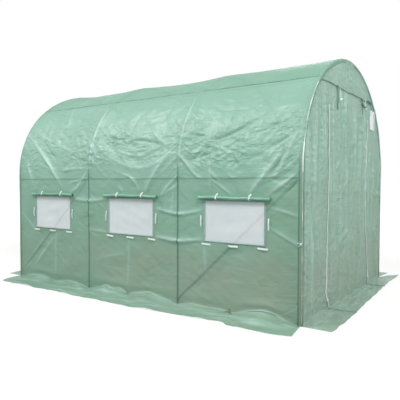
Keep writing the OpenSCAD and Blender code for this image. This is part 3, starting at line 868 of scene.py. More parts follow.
def side_skirt(y_line, foot, side):
    """The film on the ground: its points, its flat map and the lines of its folds."""
    rng = np.random.default_rng(31 if side < 0 else 37)
    reach = follow(EDGE, y_line if side < 0 else -y_line)
    y, share = np.meshgrid(y_line, np.linspace(1, 0, 25)[:-1])
    away = share * reach
    slope = np.clip(1 - away / (0.07 + 1.3 * foot), 0, 1) ** 1.5
    wave = 0.008 * ripple(y, away * 1.6, rng, 10, 0.12, 0.5) + 0.0012 * ripple(y, away, rng, 10, 0.05, 0.12)
    strokes, folds = np.zeros_like(y), []
    for _ in range(46):
        cy, ca = rng.uniform(-1.5, 1.5), rng.uniform(0.03, 0.24)
        half = rng.uniform(0.05, 0.22)
        tilt = rng.normal(0, 0.10)
        folds.append([(cy - half, ca - half * tilt), (cy + half, ca + half * tilt)])
        crease(y, away, strokes, folds[-1], rng.uniform(0.002, 0.008), rng.uniform(0.008, 0.018))
    to_end = END_Y - np.abs(y)
    strokes *= np.clip(to_end / 0.06, 0, 1)
    wave *= np.clip(to_end / 0.12, 0.05, 1)
    swell = np.sin(math.pi * np.clip(share, 0.05, 1) * 0.8)
    rise = SHEET_LIFT + foot * slope + np.clip(wave + 0.004, 0, None) * swell + strokes
    end = np.clip((np.abs(y) - 1.40) / 0.12, 0, 1)
    shift = np.where(y < 0, -0.04 * end, -0.08 * end * share)
    x = WALL_X + away + 0.004 * ripple(y, away, rng, 6, 0.1, 0.3) * share
    points = np.stack([side * x, y + shift * share, np.clip(rise, 0.002, None)], axis=-1)
    return points, np.stack([y, -away], axis=-1), folds


print("side map has", [len(line) for line in side_grid()], "lines")

# %% Sew the side films
def side_film(side, name):
    y_line, s_line = side_grid()
    y, s = np.meshgrid(y_line, s_line)
    foot = follow(FOOT, y_line if side < 0 else -y_line)
    skirt, skirt_map, skirt_folds = side_skirt(y_line, foot, side)
    points = np.concatenate([skirt, side_wall(y, s, foot, side)])
    flat = np.concatenate([skirt_map, np.stack([y, s], axis=-1)])
    middle = (flat[:-1, :-1] + flat[1:, 1:]) / 2
    keep = window_distance(middle[..., 0], middle[..., 1]) > 0
    piece = sheet_piece(name, points, flat, WALL_FILM, keep)
    on_map = map_places(piece)
    map_y, map_s = on_map[:, 0], on_map[:, 1]
    # Painted shade on steel and in valleys, painted highlights on folds, and the skirt's painted lines.
    steel = steel_lines(map_y, map_s)
    mark = (steel + fold_lines(map_y, map_s, side) * (1 - steel)) * (map_s > -0.02)
    mark += skirt_marks(on_map, skirt_folds, follow(EDGE, map_y if side < 0 else -map_y))
    mark_pressed(piece, mark)
    print(name, len(piece.data.polygons), "quads")
    return piece


left_film = side_film(-1, "left_side_film")
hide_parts("left_wall_sheet", "left_shoulder_sheet", "left_skirt")
right_film = side_film(1, "right_side_film")
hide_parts("right_wall_sheet", "right_shoulder_sheet", "right_skirt")

# %% [markdown]
# ## The crown film
# The roof strip is sewn to both shoulders and lies on the hoops only. Between two hoops it hangs by up to
# two centimetres, less in the front bay, so the top line dips in each bay and shows a soft knee over each
# hoop. A parabola in each bay gives that knee for free, which a smooth wave would not.

# %% Sew the crown
FRONT_SLACK, REAR_SLACK = 0.006, 0.021


def crown_film():
    y_line = np.concatenate([[-END_Y], np.linspace(-1.5, 1.5, 241), [END_Y]])
    s_line = np.linspace(S_SHOULDER, S_END, 140)
    y, s = np.meshgrid(y_line, s_line)
    rng = np.random.default_rng(5)
    t = bay_share(y)
    hang = 4 * t * (1 - t)
    up = (s - S_SHOULDER) / (S_END - S_SHOULDER)
    arch = np.sin(math.pi * up)
    slack = np.where(y < -0.5, FRONT_SLACK, REAR_SLACK)
    out = -slack * hang * arch ** 0.5
    out += 0.003 * ripple(y, s, rng, 8, 0.3, 0.9) * hang * arch ** 0.5
    for bay in BAYS:
        for share in (0.12, 0.3, 0.7, 0.88):
            centre = (bay, S_SHOULDER + share * (S_END - S_SHOULDER))
            crushed(y, s, out, rng, centre, (0.42, 0.12), 14, 0.002, lean=0.5)
    x, z, nx, nz = section(s)
    points = np.stack([x + nx * out, y, z + nz * out], axis=-1)
    piece = sheet_piece("crown_film", points, np.stack([y, s], axis=-1), ROOF_FILM)
    on_map = map_places(piece)
    # Painted highlights over the middle hoops, and painted highlights and shade along random crease lines.
    taut = sum(np.exp(-((on_map[:, 0] - hoop) / 0.010) ** 2) for hoop in HOOPS[1:3])
    lines = np.zeros(len(on_map))
    for _ in range(46):
        start = np.array([rng.uniform(-1.45, 1.45), rng.uniform(S_SHOULDER, S_END)])
        angle = rng.choice([0.0, 1.57, 0.7, -0.7]) + rng.normal(0, 0.15)
        length = rng.uniform(0.1, 0.4)
        end = start + length * np.array([math.cos(angle), math.sin(angle)])
        crease(on_map[:, 0], on_map[:, 1], lines, [start, end], rng.uniform(-0.4, 0.1), 0.007)
    mark_pressed(piece, np.clip(lines, -0.3, 0.1) - 0.10 * taut)
    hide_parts("crown_sheet")
    return piece


crown = crown_film()
print("crown", len(crown.data.polygons), "quads")

# %% [markdown]
# ## The front gable
# Four sheets close the front: a left and a right panel, a top panel over the lintel, and the door between
# its two zips. A zip never runs straight in loose film, so the zips are curves and the sheets on both sides
# take their edges from them. Each lower sheet runs on over the ground as its own piece of skirt.

# %% Zip lines and gable folds
ZIP_LEFT = [(0.0, -0.470), (0.06, -0.510), (0.13, -0.546), (0.28, -0.542), (0.45, -0.538), (0.62, -0.533),
            (0.82, -0.520), (1.0, -0.511), (1.2, -0.515), (1.43, -0.521), (1.6, -0.512), (1.72, -0.505)]
ZIP_RIGHT = [(0.0, 0.580), (0.1, 0.572), (0.23, 0.552), (0.37, 0.530), (0.57, 0.486), (0.7, 0.480),
             (0.9, 0.472), (1.03, 0.466), (1.19, 0.486), (1.32, 0.490), (1.46, 0.514), (1.6, 0.506),
             (1.72, 0.505)]
LINTEL_Z = 1.696


def zip_x(table, z):
    """Where a zip runs at height z: its drawn line with a small wobble."""
    rng = np.random.default_rng(len(table))
    wobble = sum(0.0022 * np.sin(2 * math.pi * z / wave + rng.uniform(0, 6)) for wave in (0.11, 0.17, 0.26))
    return follow(table, z) + wobble * np.clip(z / 0.1, 0, 1)


def gable_strokes(low, high, rng, strokes, drop):
    """Hanging folds and short crossing ones, as (height, flank, line)."""
    lines = []
    for _ in range(strokes):
        cx, top = rng.uniform(low, high), rng.uniform(0.4, 1.75)
        length, lean = rng.uniform(0.25, 1.0), rng.normal(0, 0.06)
        knee = (cx + lean * 0.5 + rng.normal(0, 0.012), top - length / 2)
        line = [(cx, top), knee, (cx + lean, max(top - length, 0.02))]
        lines.append((rng.uniform(-0.5, 1.0) * drop, rng.uniform(0.008, 0.022), line))
    for _ in range(strokes):
        cx, cz, half = rng.uniform(low, high), rng.uniform(0.1, 1.6), rng.uniform(0.03, 0.1)
        tilt = rng.normal(0, 0.9)
        line = [(cx - half, cz - half * tilt), (cx + half, cz + half * tilt)]
        lines.append((rng.uniform(-0.4, 0.5) * drop, rng.uniform(0.008, 0.016), line))
    return lines


def gable_slack(x, z, rng, lines, drop):
    """How far a gable sheet stands off its plane, outwards."""
    out = np.zeros_like(x)
    for height, width, line in lines:
        crease(x, z, out, line, height, width)
    loose = 0.5 + 0.5 * np.tanh(1.5 * ripple(x, z, rng, 5, 0.3, 0.8, 0.5))
    out += 0.16 * drop * ripple(x, z, rng, 14, 0.06, 0.2, 0.10) * loose
    return out + 0.0025 * ripple(x, z, rng, 9, 0.15, 0.6, 0.5) + 0.003


for table in (ZIP_LEFT, ZIP_RIGHT):
    print("zip at", round(float(zip_x(table, np.array(1.0))), 3), "m from the middle, one metre up")

# %% Edges and skirt of a gable
FRONT_REACH = [(-1.1, 0.205), (-1.02, 0.206), (-0.76, 0.212), (-0.49, 0.206), (0.07, 0.178), (0.62, 0.156),
               (1.25, 0.14)]
REAR_REACH = 0.2
GABLE_GAP = 0.003


def left_rim(z):
    return -half_width(z)


def right_rim(z):
    return half_width(z)


def left_zip(z):
    return zip_x(ZIP_LEFT, z)


def right_zip(z):
    return zip_x(ZIP_RIGHT, z)


def leg_line(x, z):
    """Painted shade where the end hoop's leg stands behind the left panel."""
    inset = x - left_rim(z)
    return 0.5 * np.exp(-((inset - 0.030) / 0.009) ** 2) * np.clip((1.2 - z) / 0.1, 0, 1) * (z > 0.01)


def shade_by_right_zip(x, z):
    """Painted shade beside the foot of the right zip."""
    inset = right_zip(z) - x
    return 0.6 * np.exp(-((inset - 0.009) / 0.007) ** 2) * np.clip((0.45 - z) / 0.2, 0, 1)


def gable_skirt(face, x_line, share, foot, flare, wide, rng):
    """The film on the ground before a gable: its points, flat map, fold lines and reach."""
    reach = follow(FRONT_REACH, x_line) if face < 0 else 0 * x_line + REAR_REACH
    x, out_share = np.meshgrid(x_line, np.linspace(1, 0, 19)[:-1])
    away = out_share * reach
    bumps, folds = np.zeros_like(x), []
    for _ in range(int(22 * wide)):
        cx, ca = rng.uniform(x_line[0], x_line[-1]), rng.uniform(0.02, 0.18)
        half = rng.uniform(0.04, 0.15)
        tilt = rng.normal(0, 0.25)
        folds.append([(cx - half, ca - half * tilt), (cx + half, ca + half * tilt)])
        crease(x, away, bumps, folds[-1], rng.uniform(0.002, 0.007), rng.uniform(0.008, 0.016))
    slope = np.clip(1 - away / 0.09, 0, 1) ** 1.5
    free = np.clip(24 * share * (1 - share), 0, 1)
    swell = 0.004 * np.clip(ripple(x, away, rng, 8, 0.1, 0.4) + 0.6, 0, None) * out_share
    rise = SHEET_LIFT + foot * slope + free * (bumps + swell)
    y = face * (END_Y + GABLE_GAP + away + 0.003 * ripple(x, away, rng, 5, 0.1, 0.3) * out_share)
    points = np.stack([x + flare * out_share * share ** 2, y, rise], axis=-1)
    return points, np.stack([x, -away], axis=-1), folds, reach


print("front skirt is", FRONT_REACH[0][1], "m wide at the near corner, the rear one", REAR_REACH)

# %% Sew the gable sheets
GABLE_STEP = 0.0105


def gable_sheet(name, face, left, right, low, high, seed, folds=(), strokes=14, drop=0.030, skirt=True,
                columns=90, flare=0.0, dark_line=None):
    """One gable sheet between two edge lines; face is -1 for the front and +1 for the rear."""
    rng = np.random.default_rng(seed)
    z_line = np.linspace(low, high, max(int((high - low) / GABLE_STEP), 12))
    share = np.linspace(0, 1, columns)
    z = np.repeat(z_line[:, None], columns, axis=1)
    x0, x1 = left(z_line)[:, None], right(z_line)[:, None]
    x = x0 + share * (x1 - x0)
    lines = gable_strokes(x.min(), x.max(), rng, strokes, drop)
    lines += [(height / 1000, width / 1000, line) for height, width, line in folds]
    out = gable_slack(x, z, rng, lines, drop)
    gathers = np.sin(2 * math.pi * z / 0.09 + 9 * np.sin(3 * z))
    pucker = sum(0.003 * np.exp(-np.abs(x - edge) / 0.05) * gathers for edge in (x0, x1))
    out = (out + pucker) * np.clip(4 * share * (1 - share), 0, 1) ** 0.6
    out *= 1 - 0.85 * np.exp(-((z - LINTEL_Z) / 0.04) ** 2)
    foot = 0 * share
    if skirt:
        foot = 0.012 * (1 + ripple(x[0], x[0] * 0, rng, 5, 0.2, 0.5)) * np.sin(math.pi * share)
    foot = np.clip(foot, 0, 0.05)
    lift = np.clip(1 - z / 0.14, 0, 1)
    y = face * (END_Y + np.clip(out, -0.002, None) + GABLE_GAP)
    points = np.stack([x, y, z + foot * lift], axis=-1)
    flat = np.stack([x, z], axis=-1)
    area = float(np.mean(x1 - x0) * (high - low))
    long, wide = high - low, float(np.max(x1 - x0))
    if skirt:
        ground, ground_map, skirt_folds, reach = gable_skirt(face, x[0], share, foot, flare, wide, rng)
        points = np.concatenate([ground, points])
        flat = np.concatenate([ground_map, flat])
        area += float(np.mean(reach)) * float(x[0][-1] - x[0][0])
        long += float(np.max(reach))
    piece = sheet_piece(name, points, flat, GABLE_FILM)
    on_map = map_places(piece)
    map_x, map_z = on_map[:, 0], on_map[:, 1]
    # Painted highlights and shade along the folds and the skirt, and painted shade along the given dark line.
    mark = np.zeros(len(on_map))
    for height, _, line in lines:
        crease(map_x, map_z, mark, line, (-22 if len(line) > 2 else -10) * height, 0.008)
    mark = np.clip(mark, -0.5, 0.3) * (map_z > 0.01)
    if skirt:
        cut_edge = follow(FRONT_REACH, map_x) if face < 0 else REAR_REACH
        mark += 0.6 * skirt_marks(on_map, skirt_folds, cut_edge)
    if dark_line is not None:
        mark += dark_line(map_x, map_z)
    mark_pressed(piece, mark)
    print(name, len(piece.data.polygons), "quads")
    return piece


print("a row of quads every", GABLE_STEP, "m up the gables")

# %% Front and rear sheets
DOOR_FOLDS = [(6, 22, [(-0.43, 0.40), (-0.22, 0.505), (-0.09, 0.58)]), (6, 22, [(-0.04, 0.50), (0.33, 0.39)]),
              (7, 30, [(-0.30, 1.5), (-0.31, 1.0), (-0.27, 0.6)]),
              (6, 26, [(0.10, 1.6), (0.12, 1.1), (0.08, 0.7)]),
              (6, 30, [(0.36, 1.6), (0.38, 1.0), (0.42, 0.4)])]
GABLE_TOP = TOP_Z - 0.002
front_left = gable_sheet("front_left_film", -1, left_rim, left_zip, 0.0, LINTEL_Z, 41, columns=72, strokes=24,
                         dark_line=leg_line)
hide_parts("front_left_panel", "front_skirts")
front_right = gable_sheet("front_right_film", -1, right_zip, right_rim, 0.0, LINTEL_Z, 43, columns=64,
                          strokes=20, flare=0.255)
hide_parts("front_right_panel", "front_skirts")
door = gable_sheet("door_film", -1, left_zip, right_zip, 0.0, LINTEL_Z, 47, folds=DOOR_FOLDS, columns=124,
                   strokes=46, dark_line=shade_by_right_zip)
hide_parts("door_panel", "door_skirt")
front_top = gable_sheet("front_top_film", -1, left_rim, right_rim, LINTEL_Z, GABLE_TOP, 53, columns=120,
                        strokes=5, drop=0.003, skirt=False)
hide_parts("front_top_panel")
rear = gable_sheet("rear_gable_film", 1, left_rim, right_rim, 0.0, GABLE_TOP, 59, columns=170, strokes=40)
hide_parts("rear_gable_sheet", "rear_skirt")

# %% [markdown]
# ## Nets and window hems
# Behind each opening a fine insect net is sewn in. Modelling every thread would take millions of faces, so
# the net is a thin sheet whose material is a fine grid: threads that scatter light, and holes that show
# what is behind. A narrow hem frames the opening, because the cut film is turned over and stitched there.

# %% Net material
def net_material():
    material, tree, place, cut, surface = start_material("insect_net")
    mesh = place_group(tree, woven_grid, {"Place": cut, "Pitch": 0.0022, "Thread": 0.5})
    tone = place_group(tree, patchy_tone, {"Place": place, "Size": 0.12})
    colour = blend(tree, tone["Patch"], (0.915, 0.955, 1.0, 1), (0.89, 0.93, 0.985, 1))
    # Painted shade where a brace stands behind the net.
    behind = node(tree, "Attribute", attribute_name="pressed").outputs["Fac"]
    colour = blend(tree, times(tree, behind, 0.55), colour, (0.70, 0.66, 0.69, 1))
    gloss = between(tree, tone["Fine"], 0.2, 0.8, 0.5, 0.7)
    bump = node(tree, "Bump", {"Height": mesh["Height"], "Strength": 0.3, "Distance": 0.0002}).outputs[0]
    threads = between(tree, mesh["Threads"], 0.0, 1.0, 0.46, 1.0)
    face = node(tree, "BsdfPrincipled", {"Base Color": colour, "Roughness": gloss, "Normal": bump,
                                         "Alpha": threads})
    shine = node(tree, "BsdfTranslucent", {"Color": (0.85, 0.87, 0.90, 1)})
    both = node(tree, "MixShader", {0: 0.12, 1: face.outputs[0], 2: shine.outputs[0]})
    tree.links.new(both.outputs[0], surface)
    return material


INSECT_NET = net_material()
print("net:", INSECT_NET.name)

# %% Nets and hems
NET_LAP = 0.018
HEM_POINTS = 40


def bulge(values):
    """0 at both ends of a run of values, 1 in its middle."""
    low, high = values.min(), values.max()
    return np.sin(math.pi * (values - low) / (high - low))


def window_net(side, bay, name, seed):
    rng = np.random.default_rng(seed)
    y_line = np.linspace(bay - WINDOW_HALF - NET_LAP, bay + WINDOW_HALF + NET_LAP, 85)
    z_line = np.linspace(WINDOW_LOW - NET_LAP, WINDOW_TOP + NET_LAP, 55)
    y, z = np.meshgrid(y_line, z_line)
    bag = bulge(y) * bulge(z)
    sink = 0.0035 + 0.004 * bag * (1 + 0.5 * ripple(y, z, rng, 6, 0.08, 0.3))
    sink += 0.0012 * bag * np.sin(50 * (y - bay) + 6 * z)
    points = np.stack([side * (WALL_X - sink), y, z], axis=-1)
    piece = sheet_piece(name, points, np.stack([y, z], axis=-1), INSECT_NET)
    on_map = map_places(piece)
    # The painted shade of the brace behind the net.
    mark_pressed(piece, np.exp(-(brace_distance(on_map[:, 0], on_map[:, 1]) / 0.011) ** 4))
    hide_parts("left_window_nets" if side < 0 else "right_window_nets")


def hem_frame(pile, side, bay, wide, lift, thick):
    """A folded hem round a window: a flat frame with mitred corners."""
    ring = [(-WINDOW_HALF, WINDOW_LOW), (WINDOW_HALF, WINDOW_LOW), (WINDOW_HALF, WINDOW_TOP),
            (-WINDOW_HALF, WINDOW_TOP)]
    middle = np.array([0, WINDOW_MIDDLE])
    turned = ((-0.004, 0.0), (-0.004, thick), (wide * 0.5, thick * 1.25), (wide, thick), (wide, 0.0))
    t = np.linspace(0, 1, HEM_POINTS)[:, None]
    for a, b in zip(ring, ring[1:] + ring[:1]):
        a, b = np.array(a), np.array(b)
        rows = []
        for grow, out in turned:
            push = grow * np.sign(np.stack([a - middle, b - middle]))
            line = (a + push[0]) * (1 - t) + (b + push[1]) * t
            line = line + 0.0008 * np.sin(90 * t + 5 * bay)
            rows.append(np.concatenate([np.full((HEM_POINTS, 1), WALL_X + lift + out), line], axis=1))
        grid = np.stack(rows)
        pile.add(np.stack([side * grid[..., 0], bay + grid[..., 1], grid[..., 2]], axis=-1))


SIDES = ((-1, "left"), (1, "right"))
for side, which in SIDES:
    hems = Pile()
    for number, bay in enumerate(BAYS):
        window_net(side, bay, f"{which}_net_{number + 1}", 70 + number)
        hem_frame(hems, side, bay, 0.007, 0.0006, 0.0014)
    hem = hems.piece(f"{which}_window_hems", HEM_FILM)
print("six nets sewn in")

# %% [markdown]
# ## Rolled flaps
# Each window has a flap that is rolled up and tied. A plain cylinder would look like a pipe, so the roll is
# made as the real thing is: one sheet wound in a spiral, a little loose at the ends, pinched where the ties
# hold it, and leaving the spiral at the back to run up to the seam above the window.

# %% Wind the flaps
ROLL_Z, ROLL_HALF, ROLL_R = 0.841, 0.30, 0.0132
ROLL_X = WALL_X + 0.001 + ROLL_R
CORE_R, TURNS, FIRST_TURN = 0.0045, 4.6, 4.9
TIE_AT = 0.138


def rolled_flap(side, bay, name, seed):
    y_line = np.linspace(-ROLL_HALF, ROLL_HALF, 91)
    y, t = np.meshgrid(y_line, np.linspace(0, 1, 118))
    angle = 2 * math.pi * TURNS * t
    pinch = 1 - 0.13 * sum(np.exp(-((y - at) / 0.014) ** 2) for at in (-TIE_AT, TIE_AT))
    loose = 1 + 0.06 * np.sin(17 * y + seed) + 0.05 * np.clip((np.abs(y) - 0.25) / 0.05, 0, 1)
    radius = (CORE_R + (ROLL_R - CORE_R) * t) * pinch * loose + 0.0006 * np.sin(3 * angle + 40 * y)
    sag = -0.002 * np.cos(math.pi * y / TIE_AT) - 0.002 * np.sin(9 * y + seed)
    x = ROLL_X + radius * np.cos(angle + FIRST_TURN)
    z = ROLL_Z + sag + radius * np.sin(angle + FIRST_TURN)
    shift = 0.006 * (0.5 - t) * np.sign(y) * np.clip((np.abs(y) - 0.26) / 0.04, 0, 1)
    tail_y, tail = np.meshgrid(y_line, np.linspace(0, 1, 7)[1:])
    tail_x = x[-1] * (1 - tail) + (WALL_X + 0.0022) * tail
    tail_z = z[-1] + (ROLL_Z + 0.006 - z[-1]) * tail
    grid_x, grid_z = np.concatenate([x, tail_x]), np.concatenate([z, tail_z])
    grid_y = np.concatenate([y + shift, tail_y])
    points = np.stack([side * grid_x, bay + grid_y, grid_z], axis=-1)
    steps = np.linalg.norm(np.diff(points, axis=0), axis=2).mean(axis=1)
    run = np.concatenate([[0], np.cumsum(steps)])
    flat = np.stack([grid_y, np.repeat(run[:, None], len(y_line), axis=1)], axis=-1)
    piece = sheet_piece(name, points, flat, ROLL_FILM)
    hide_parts("left_window_rolls" if side < 0 else "right_window_rolls")
    return float(run[-1])


for side, which in SIDES:
    for number, bay in enumerate(BAYS):
        seed = 3 + number + (5 if side > 0 else 0)
        cut_length = rolled_flap(side, bay, f"{which}_flap_roll_{number + 1}", seed)
print("six flaps, each about", round(cut_length, 3), "m long before rolling")

# %% [markdown]
# ## White tapes
# Ties and tabs are cut from white woven tape. The ties go round the rolls and end in a small knot, and the
# tabs are flat strips sewn beside the openings, where the lowered flap is fastened. Both are swept from one
# flat outline, so their edges catch the light as tape does.

# %% Tape material
def tape_material(name, light, shade, pitch=0.0012, rough=0.62):
    material, tree, place, cut, surface = start_material(name)
    weave = place_group(tree, woven_grid, {"Place": cut, "Pitch": pitch, "Thread": 0.6})
    tone = place_group(tree, patchy_tone, {"Place": place, "Size": 0.05})
    dusted = place_group(tree, ground_dust, {"Place": place, "Clean Height": 0.12})
    colour = blend(tree, times(tree, tone["Patch"], 0.35), light, shade)
    colour = blend(tree, times(tree, weave["Threads"], 0.25), colour, shade)
    colour = blend(tree, times(tree, dusted["Dust"], 0.3), colour, (0.36, 0.35, 0.28, 1))
    gloss = between(tree, tone["Fine"], 0.2, 0.8, rough - 0.1, rough + 0.1)
    bump = node(tree, "Bump", {"Height": weave["Height"], "Strength": 0.5, "Distance": 0.0003}).outputs[0]
    face = node(tree, "BsdfPrincipled", {"Base Color": colour, "Roughness": gloss, "Normal": bump})
    tree.links.new(face.outputs[0], surface)
    return material


WHITE_TAPE = tape_material("white_tape", (0.86, 0.89, 0.90, 1), (0.66, 0.71, 0.76, 1))
DARK_WEBBING = tape_material("dark_webbing", (0.05, 0.17, 0.11, 1), (0.02, 0.09, 0.055, 1), 0.0016)
ZIP_TAPE = tape_material("zip_tape", (0.80, 0.86, 0.82, 1), (0.60, 0.70, 0.65, 1))
print("tapes:", WHITE_TAPE.name, DARK_WEBBING.name, ZIP_TAPE.name)


# %% Ties with knots
def knot_ball(radii, around=10, along=7, upright=False):
    """A small ball for a knot, with its poles along y, or along z when it is upright."""
    turn = np.linspace(0, 2 * math.pi, around, endpoint=False)
    u, v = np.meshgrid(turn, np.linspace(0.15, math.pi - 0.15, along))
    axes = [np.sin(v) * np.cos(u), np.cos(v), np.sin(v) * np.sin(u)]
    if upright:
        axes = [axes[0], axes[2], axes[1]]
    return np.stack(axes, axis=-1) * radii


def roll_tie(pile, side, y, seed):
    """A tape round the roll, with a knot in front and two short ends."""
    rng = np.random.default_rng(seed)
    turn = np.linspace(0.0, 2 * math.pi, 25)
    radius = ROLL_R * 0.9 + 0.0016
    ring_x, ring_z = ROLL_X + radius * np.cos(turn), ROLL_Z + radius * np.sin(turn)
    loop = np.stack([side * ring_x, y - 0.003 * np.sin(turn), ring_z], axis=1)
    aim = np.stack([side * np.cos(turn), 0 * turn, np.sin(turn)], axis=1)
    pile.add(sweep(loop, tape_ring(0.012, 0.0012), aim), wrap=True)
    knot = np.array([side * (ROLL_X + 0.008), y - 0.003, ROLL_Z + 0.0130])
    pile.closed(knot + knot_ball((0.0050, 0.0070, 0.0055)))
    for way, wide in ((-1, 0.010), (1, 0.007)):
        long = rng.uniform(0.8, 1.2) * (1.0 if way < 0 else 0.5)
        fall = [knot, knot + (side * 0.004, way * 0.005 * long, 0.006 * long),
                knot + (0, way * 0.008 * long, 0.012 * long),
                knot + (-side * 0.004, way * 0.009 * long, 0.018 * long)]
        pile.closed(sweep(smooth_path(fall, 13), tape_ring(wide, 0.001), (side, 0, 0.1)))


print("a tie sits", TIE_AT, "m to each side of a window's middle")

# %% Ties and tabs on both sides
TAB_ROW_Z, TAB_ROW = 0.494, (-0.235, 0.0, 0.235)
TAB_SIDE_Z, TAB_SIDES = 0.665, (-0.28, 0.28)


def tab(pile, side, y, z, long, wide, upright, seed):
    """A sewn tape tab: held at both ends, a little bowed between."""
    rng = np.random.default_rng(seed)
    t = np.linspace(-0.5, 0.5, 15)
    bow = 0.0035 * (1 - (2 * t) ** 2) + 0.001 * np.sin(12 * t + seed)
    tilt = rng.normal(0, 0.05)
    a, b = t * long, t * long * tilt
    x = side * (WALL_X + 0.0022 + bow)
    path = np.stack([x, y + (b if upright else a), z + (a if upright else b)], axis=1)
    pile.closed(sweep(path, tape_ring(wide, 0.0014), (side, 0, 0)))


for side, which in SIDES:
    ties, tabs = Pile(), Pile()
    for number, bay in enumerate(BAYS):
        for at in (-TIE_AT, TIE_AT):
            roll_tie(ties, side, bay + at, int(100 + 10 * number + (at > 0)))
        for place in TAB_ROW:
            tab(tabs, side, bay + place, TAB_ROW_Z, 0.080, 0.014, False, number + int(100 * abs(place)))
        for place in TAB_SIDES:
            tab(tabs, side, bay + place, TAB_SIDE_Z, 0.085, 0.010, True, number + 7)
    piece = ties.piece(f"{which}_roll_ties", WHITE_TAPE)
    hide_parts("roll_ties")
    piece = tabs.piece(f"{which}_window_tabs", WHITE_TAPE)
    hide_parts("window_tabs")
print("twelve ties knotted and thirty tabs sewn on")

# %% [markdown]
# ## Zips, straps and toggles
# The door opens by two zips and is rolled up under two dark straps. A zip is a narrow tape with two rows of
# teeth and a slider. The teeth could be a texture, but they are small solid blocks here, because a zip seen
# close by is all about its teeth. They follow the same wandering curves as the sheets.

# %% Zips
LEFT_WIDTH = [(0.0, 0.020), (0.3, 0.019), (0.45, 0.011), (1.0, 0.010), (1.25, 0.014), (1.5, 0.012),
              (1.57, 0.005), (1.7, 0.004)]
RIGHT_WIDTH = [(0.0, 0.018), (0.08, 0.017), (0.14, 0.010), (0.7, 0.011), (0.82, 0.017), (1.2, 0.018),
               (1.48, 0.014), (1.7, 0.006)]
FACE_Y = -(END_Y + 0.0072)
ZIP_FOOT, ZIP_TOP = 0.012, 1.640
TOOTH_PITCH, TEETH_FROM, TEETH_TO = 0.0044, 0.02, 1.51
TOOTH_HALF = (0.0024, 0.0013, 0.0014)
SLIDER_Z = 0.075


def zip_tooth(table, place):
    """One small block, set to the left and right by turns, with a narrower face."""
    side = 1 if int(place / TOOTH_PITCH) % 2 else -1
    cx = float(zip_x(table, np.array(place))) + side * 0.0011
    ring = np.array([(-1, -1), (1, -1), (1, 1), (-1, 1)])
    wide, deep, tall = TOOTH_HALF
    return [[(cx + sx * wide * k, FACE_Y - 0.0014 + dy * deep, place + sz * tall * k) for sx, sz in ring]
            for dy, k in ((1, 1.0), (0, 1.0), (-1, 0.6))]


def zip_slider(pile, x, z):
    """Two blocks for the slider's body and bridge, and a pull of tape."""
    for wide, low, high, deep in ((0.009, -0.012, 0.012, 0.006), (0.0055, -0.020, -0.010, 0.0075)):
        ring = [(-wide, low), (wide, low), (wide * 1.1, high), (-wide * 1.1, high)]
        layers = ((0.0, 1.0), (deep * 0.7, 1.0), (deep, 0.75))
        grid = [[(x + a * k, FACE_Y - d, z + b) for a, b in ring] for d, k in layers]
        pile.closed(grid)
    pull = [(x, FACE_Y - 0.006, z - 0.014), (x + 0.004, FACE_Y - 0.007, z - 0.032),
            (x + 0.010, FACE_Y - 0.005, z - 0.052)]
    pile.closed(sweep(smooth_path(pull, 9), tape_ring(0.009, 0.0014), (0, -1, 0)))


def zip_piece(name, table, widths):
    pile = Pile()
    z = np.linspace(ZIP_FOOT, ZIP_TOP, 240)
    under = 0.0075 * np.clip((z - 1.50) / 0.05, 0, 1)
    path = np.stack([zip_x(table, z), FACE_Y + under, z], axis=1)
    ring = np.stack([tape_ring(w, 0.0014) for w in follow(widths, z)])
    pile.closed(sweep(path, ring, (0, -1, 0)))
    for place in np.arange(TEETH_FROM, TEETH_TO, TOOTH_PITCH):
        pile.closed(zip_tooth(table, place))
    zip_slider(pile, float(zip_x(table, np.array(SLIDER_Z))), SLIDER_Z)
    piece = pile.piece(name, ZIP_TAPE)
    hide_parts("door_zips")


zip_piece("left_zip", ZIP_LEFT, LEFT_WIDTH)
zip_piece("right_zip", ZIP_RIGHT, RIGHT_WIDTH)
print("zips run to", ZIP_TOP, "m")

# %% Straps
STRAP_RUNS = [
    (0.020, [(-0.348, 0, 1.700), (-0.351, 0.004, 1.66), (-0.347, 0.006, 1.60), (-0.350, 0.004, 1.55),
             (-0.349, 0.003, 1.518)]),
    (0.018, [(0.300, 0, 1.698), (0.302, 0.006, 1.668), (0.318, 0.010, 1.640), (0.365, 0.010, 1.628),
             (0.45, 0.006, 1.632)]),
    (0.009, [(0.318, 0, 1.698), (0.322, 0.005, 1.66), (0.318, 0.006, 1.60), (0.320, 0.004, 1.54),
             (0.318, 0.003, 1.518)]),
    (0.018, [(0.480, 0, 1.700), (0.53, 0.006, 1.697), (0.585, 0.009, 1.688), (0.64, 0.008, 1.662),
             (0.685, 0.006, 1.632)]),
]


def straps():
    """Dark webbing that hangs from the lintel, with two rows of stitches at its top."""
    pile = Pile()
    for wide, points in STRAP_RUNS:
        path = smooth_path([(x, FACE_Y - 0.002 - out, z) for x, out, z in points], 26)
        pile.closed(sweep(path, tape_ring(wide, 0.0018), (0, -1, 0)))
        for stitch in (0.0, 0.012):
            end = path[0] - (0, 0, stitch)
            line = np.stack([end + (-wide * 0.55, -0.0012, 0), end + (0, -0.0016, 0.0004),
                             end + (wide * 0.55, -0.0012, 0)])
            pile.closed(sweep(smooth_path(line, 7), round_ring(0.0007, 6), (0, 0, 1)))
    piece = pile.piece("door_straps_webbing", DARK_WEBBING)
    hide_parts("door_straps")


straps()
print(len(STRAP_RUNS), "straps hung")

# %% Toggles
TOGGLES = ((-0.280, 1.600, 0.5), (0.410, 1.618, 0.35))


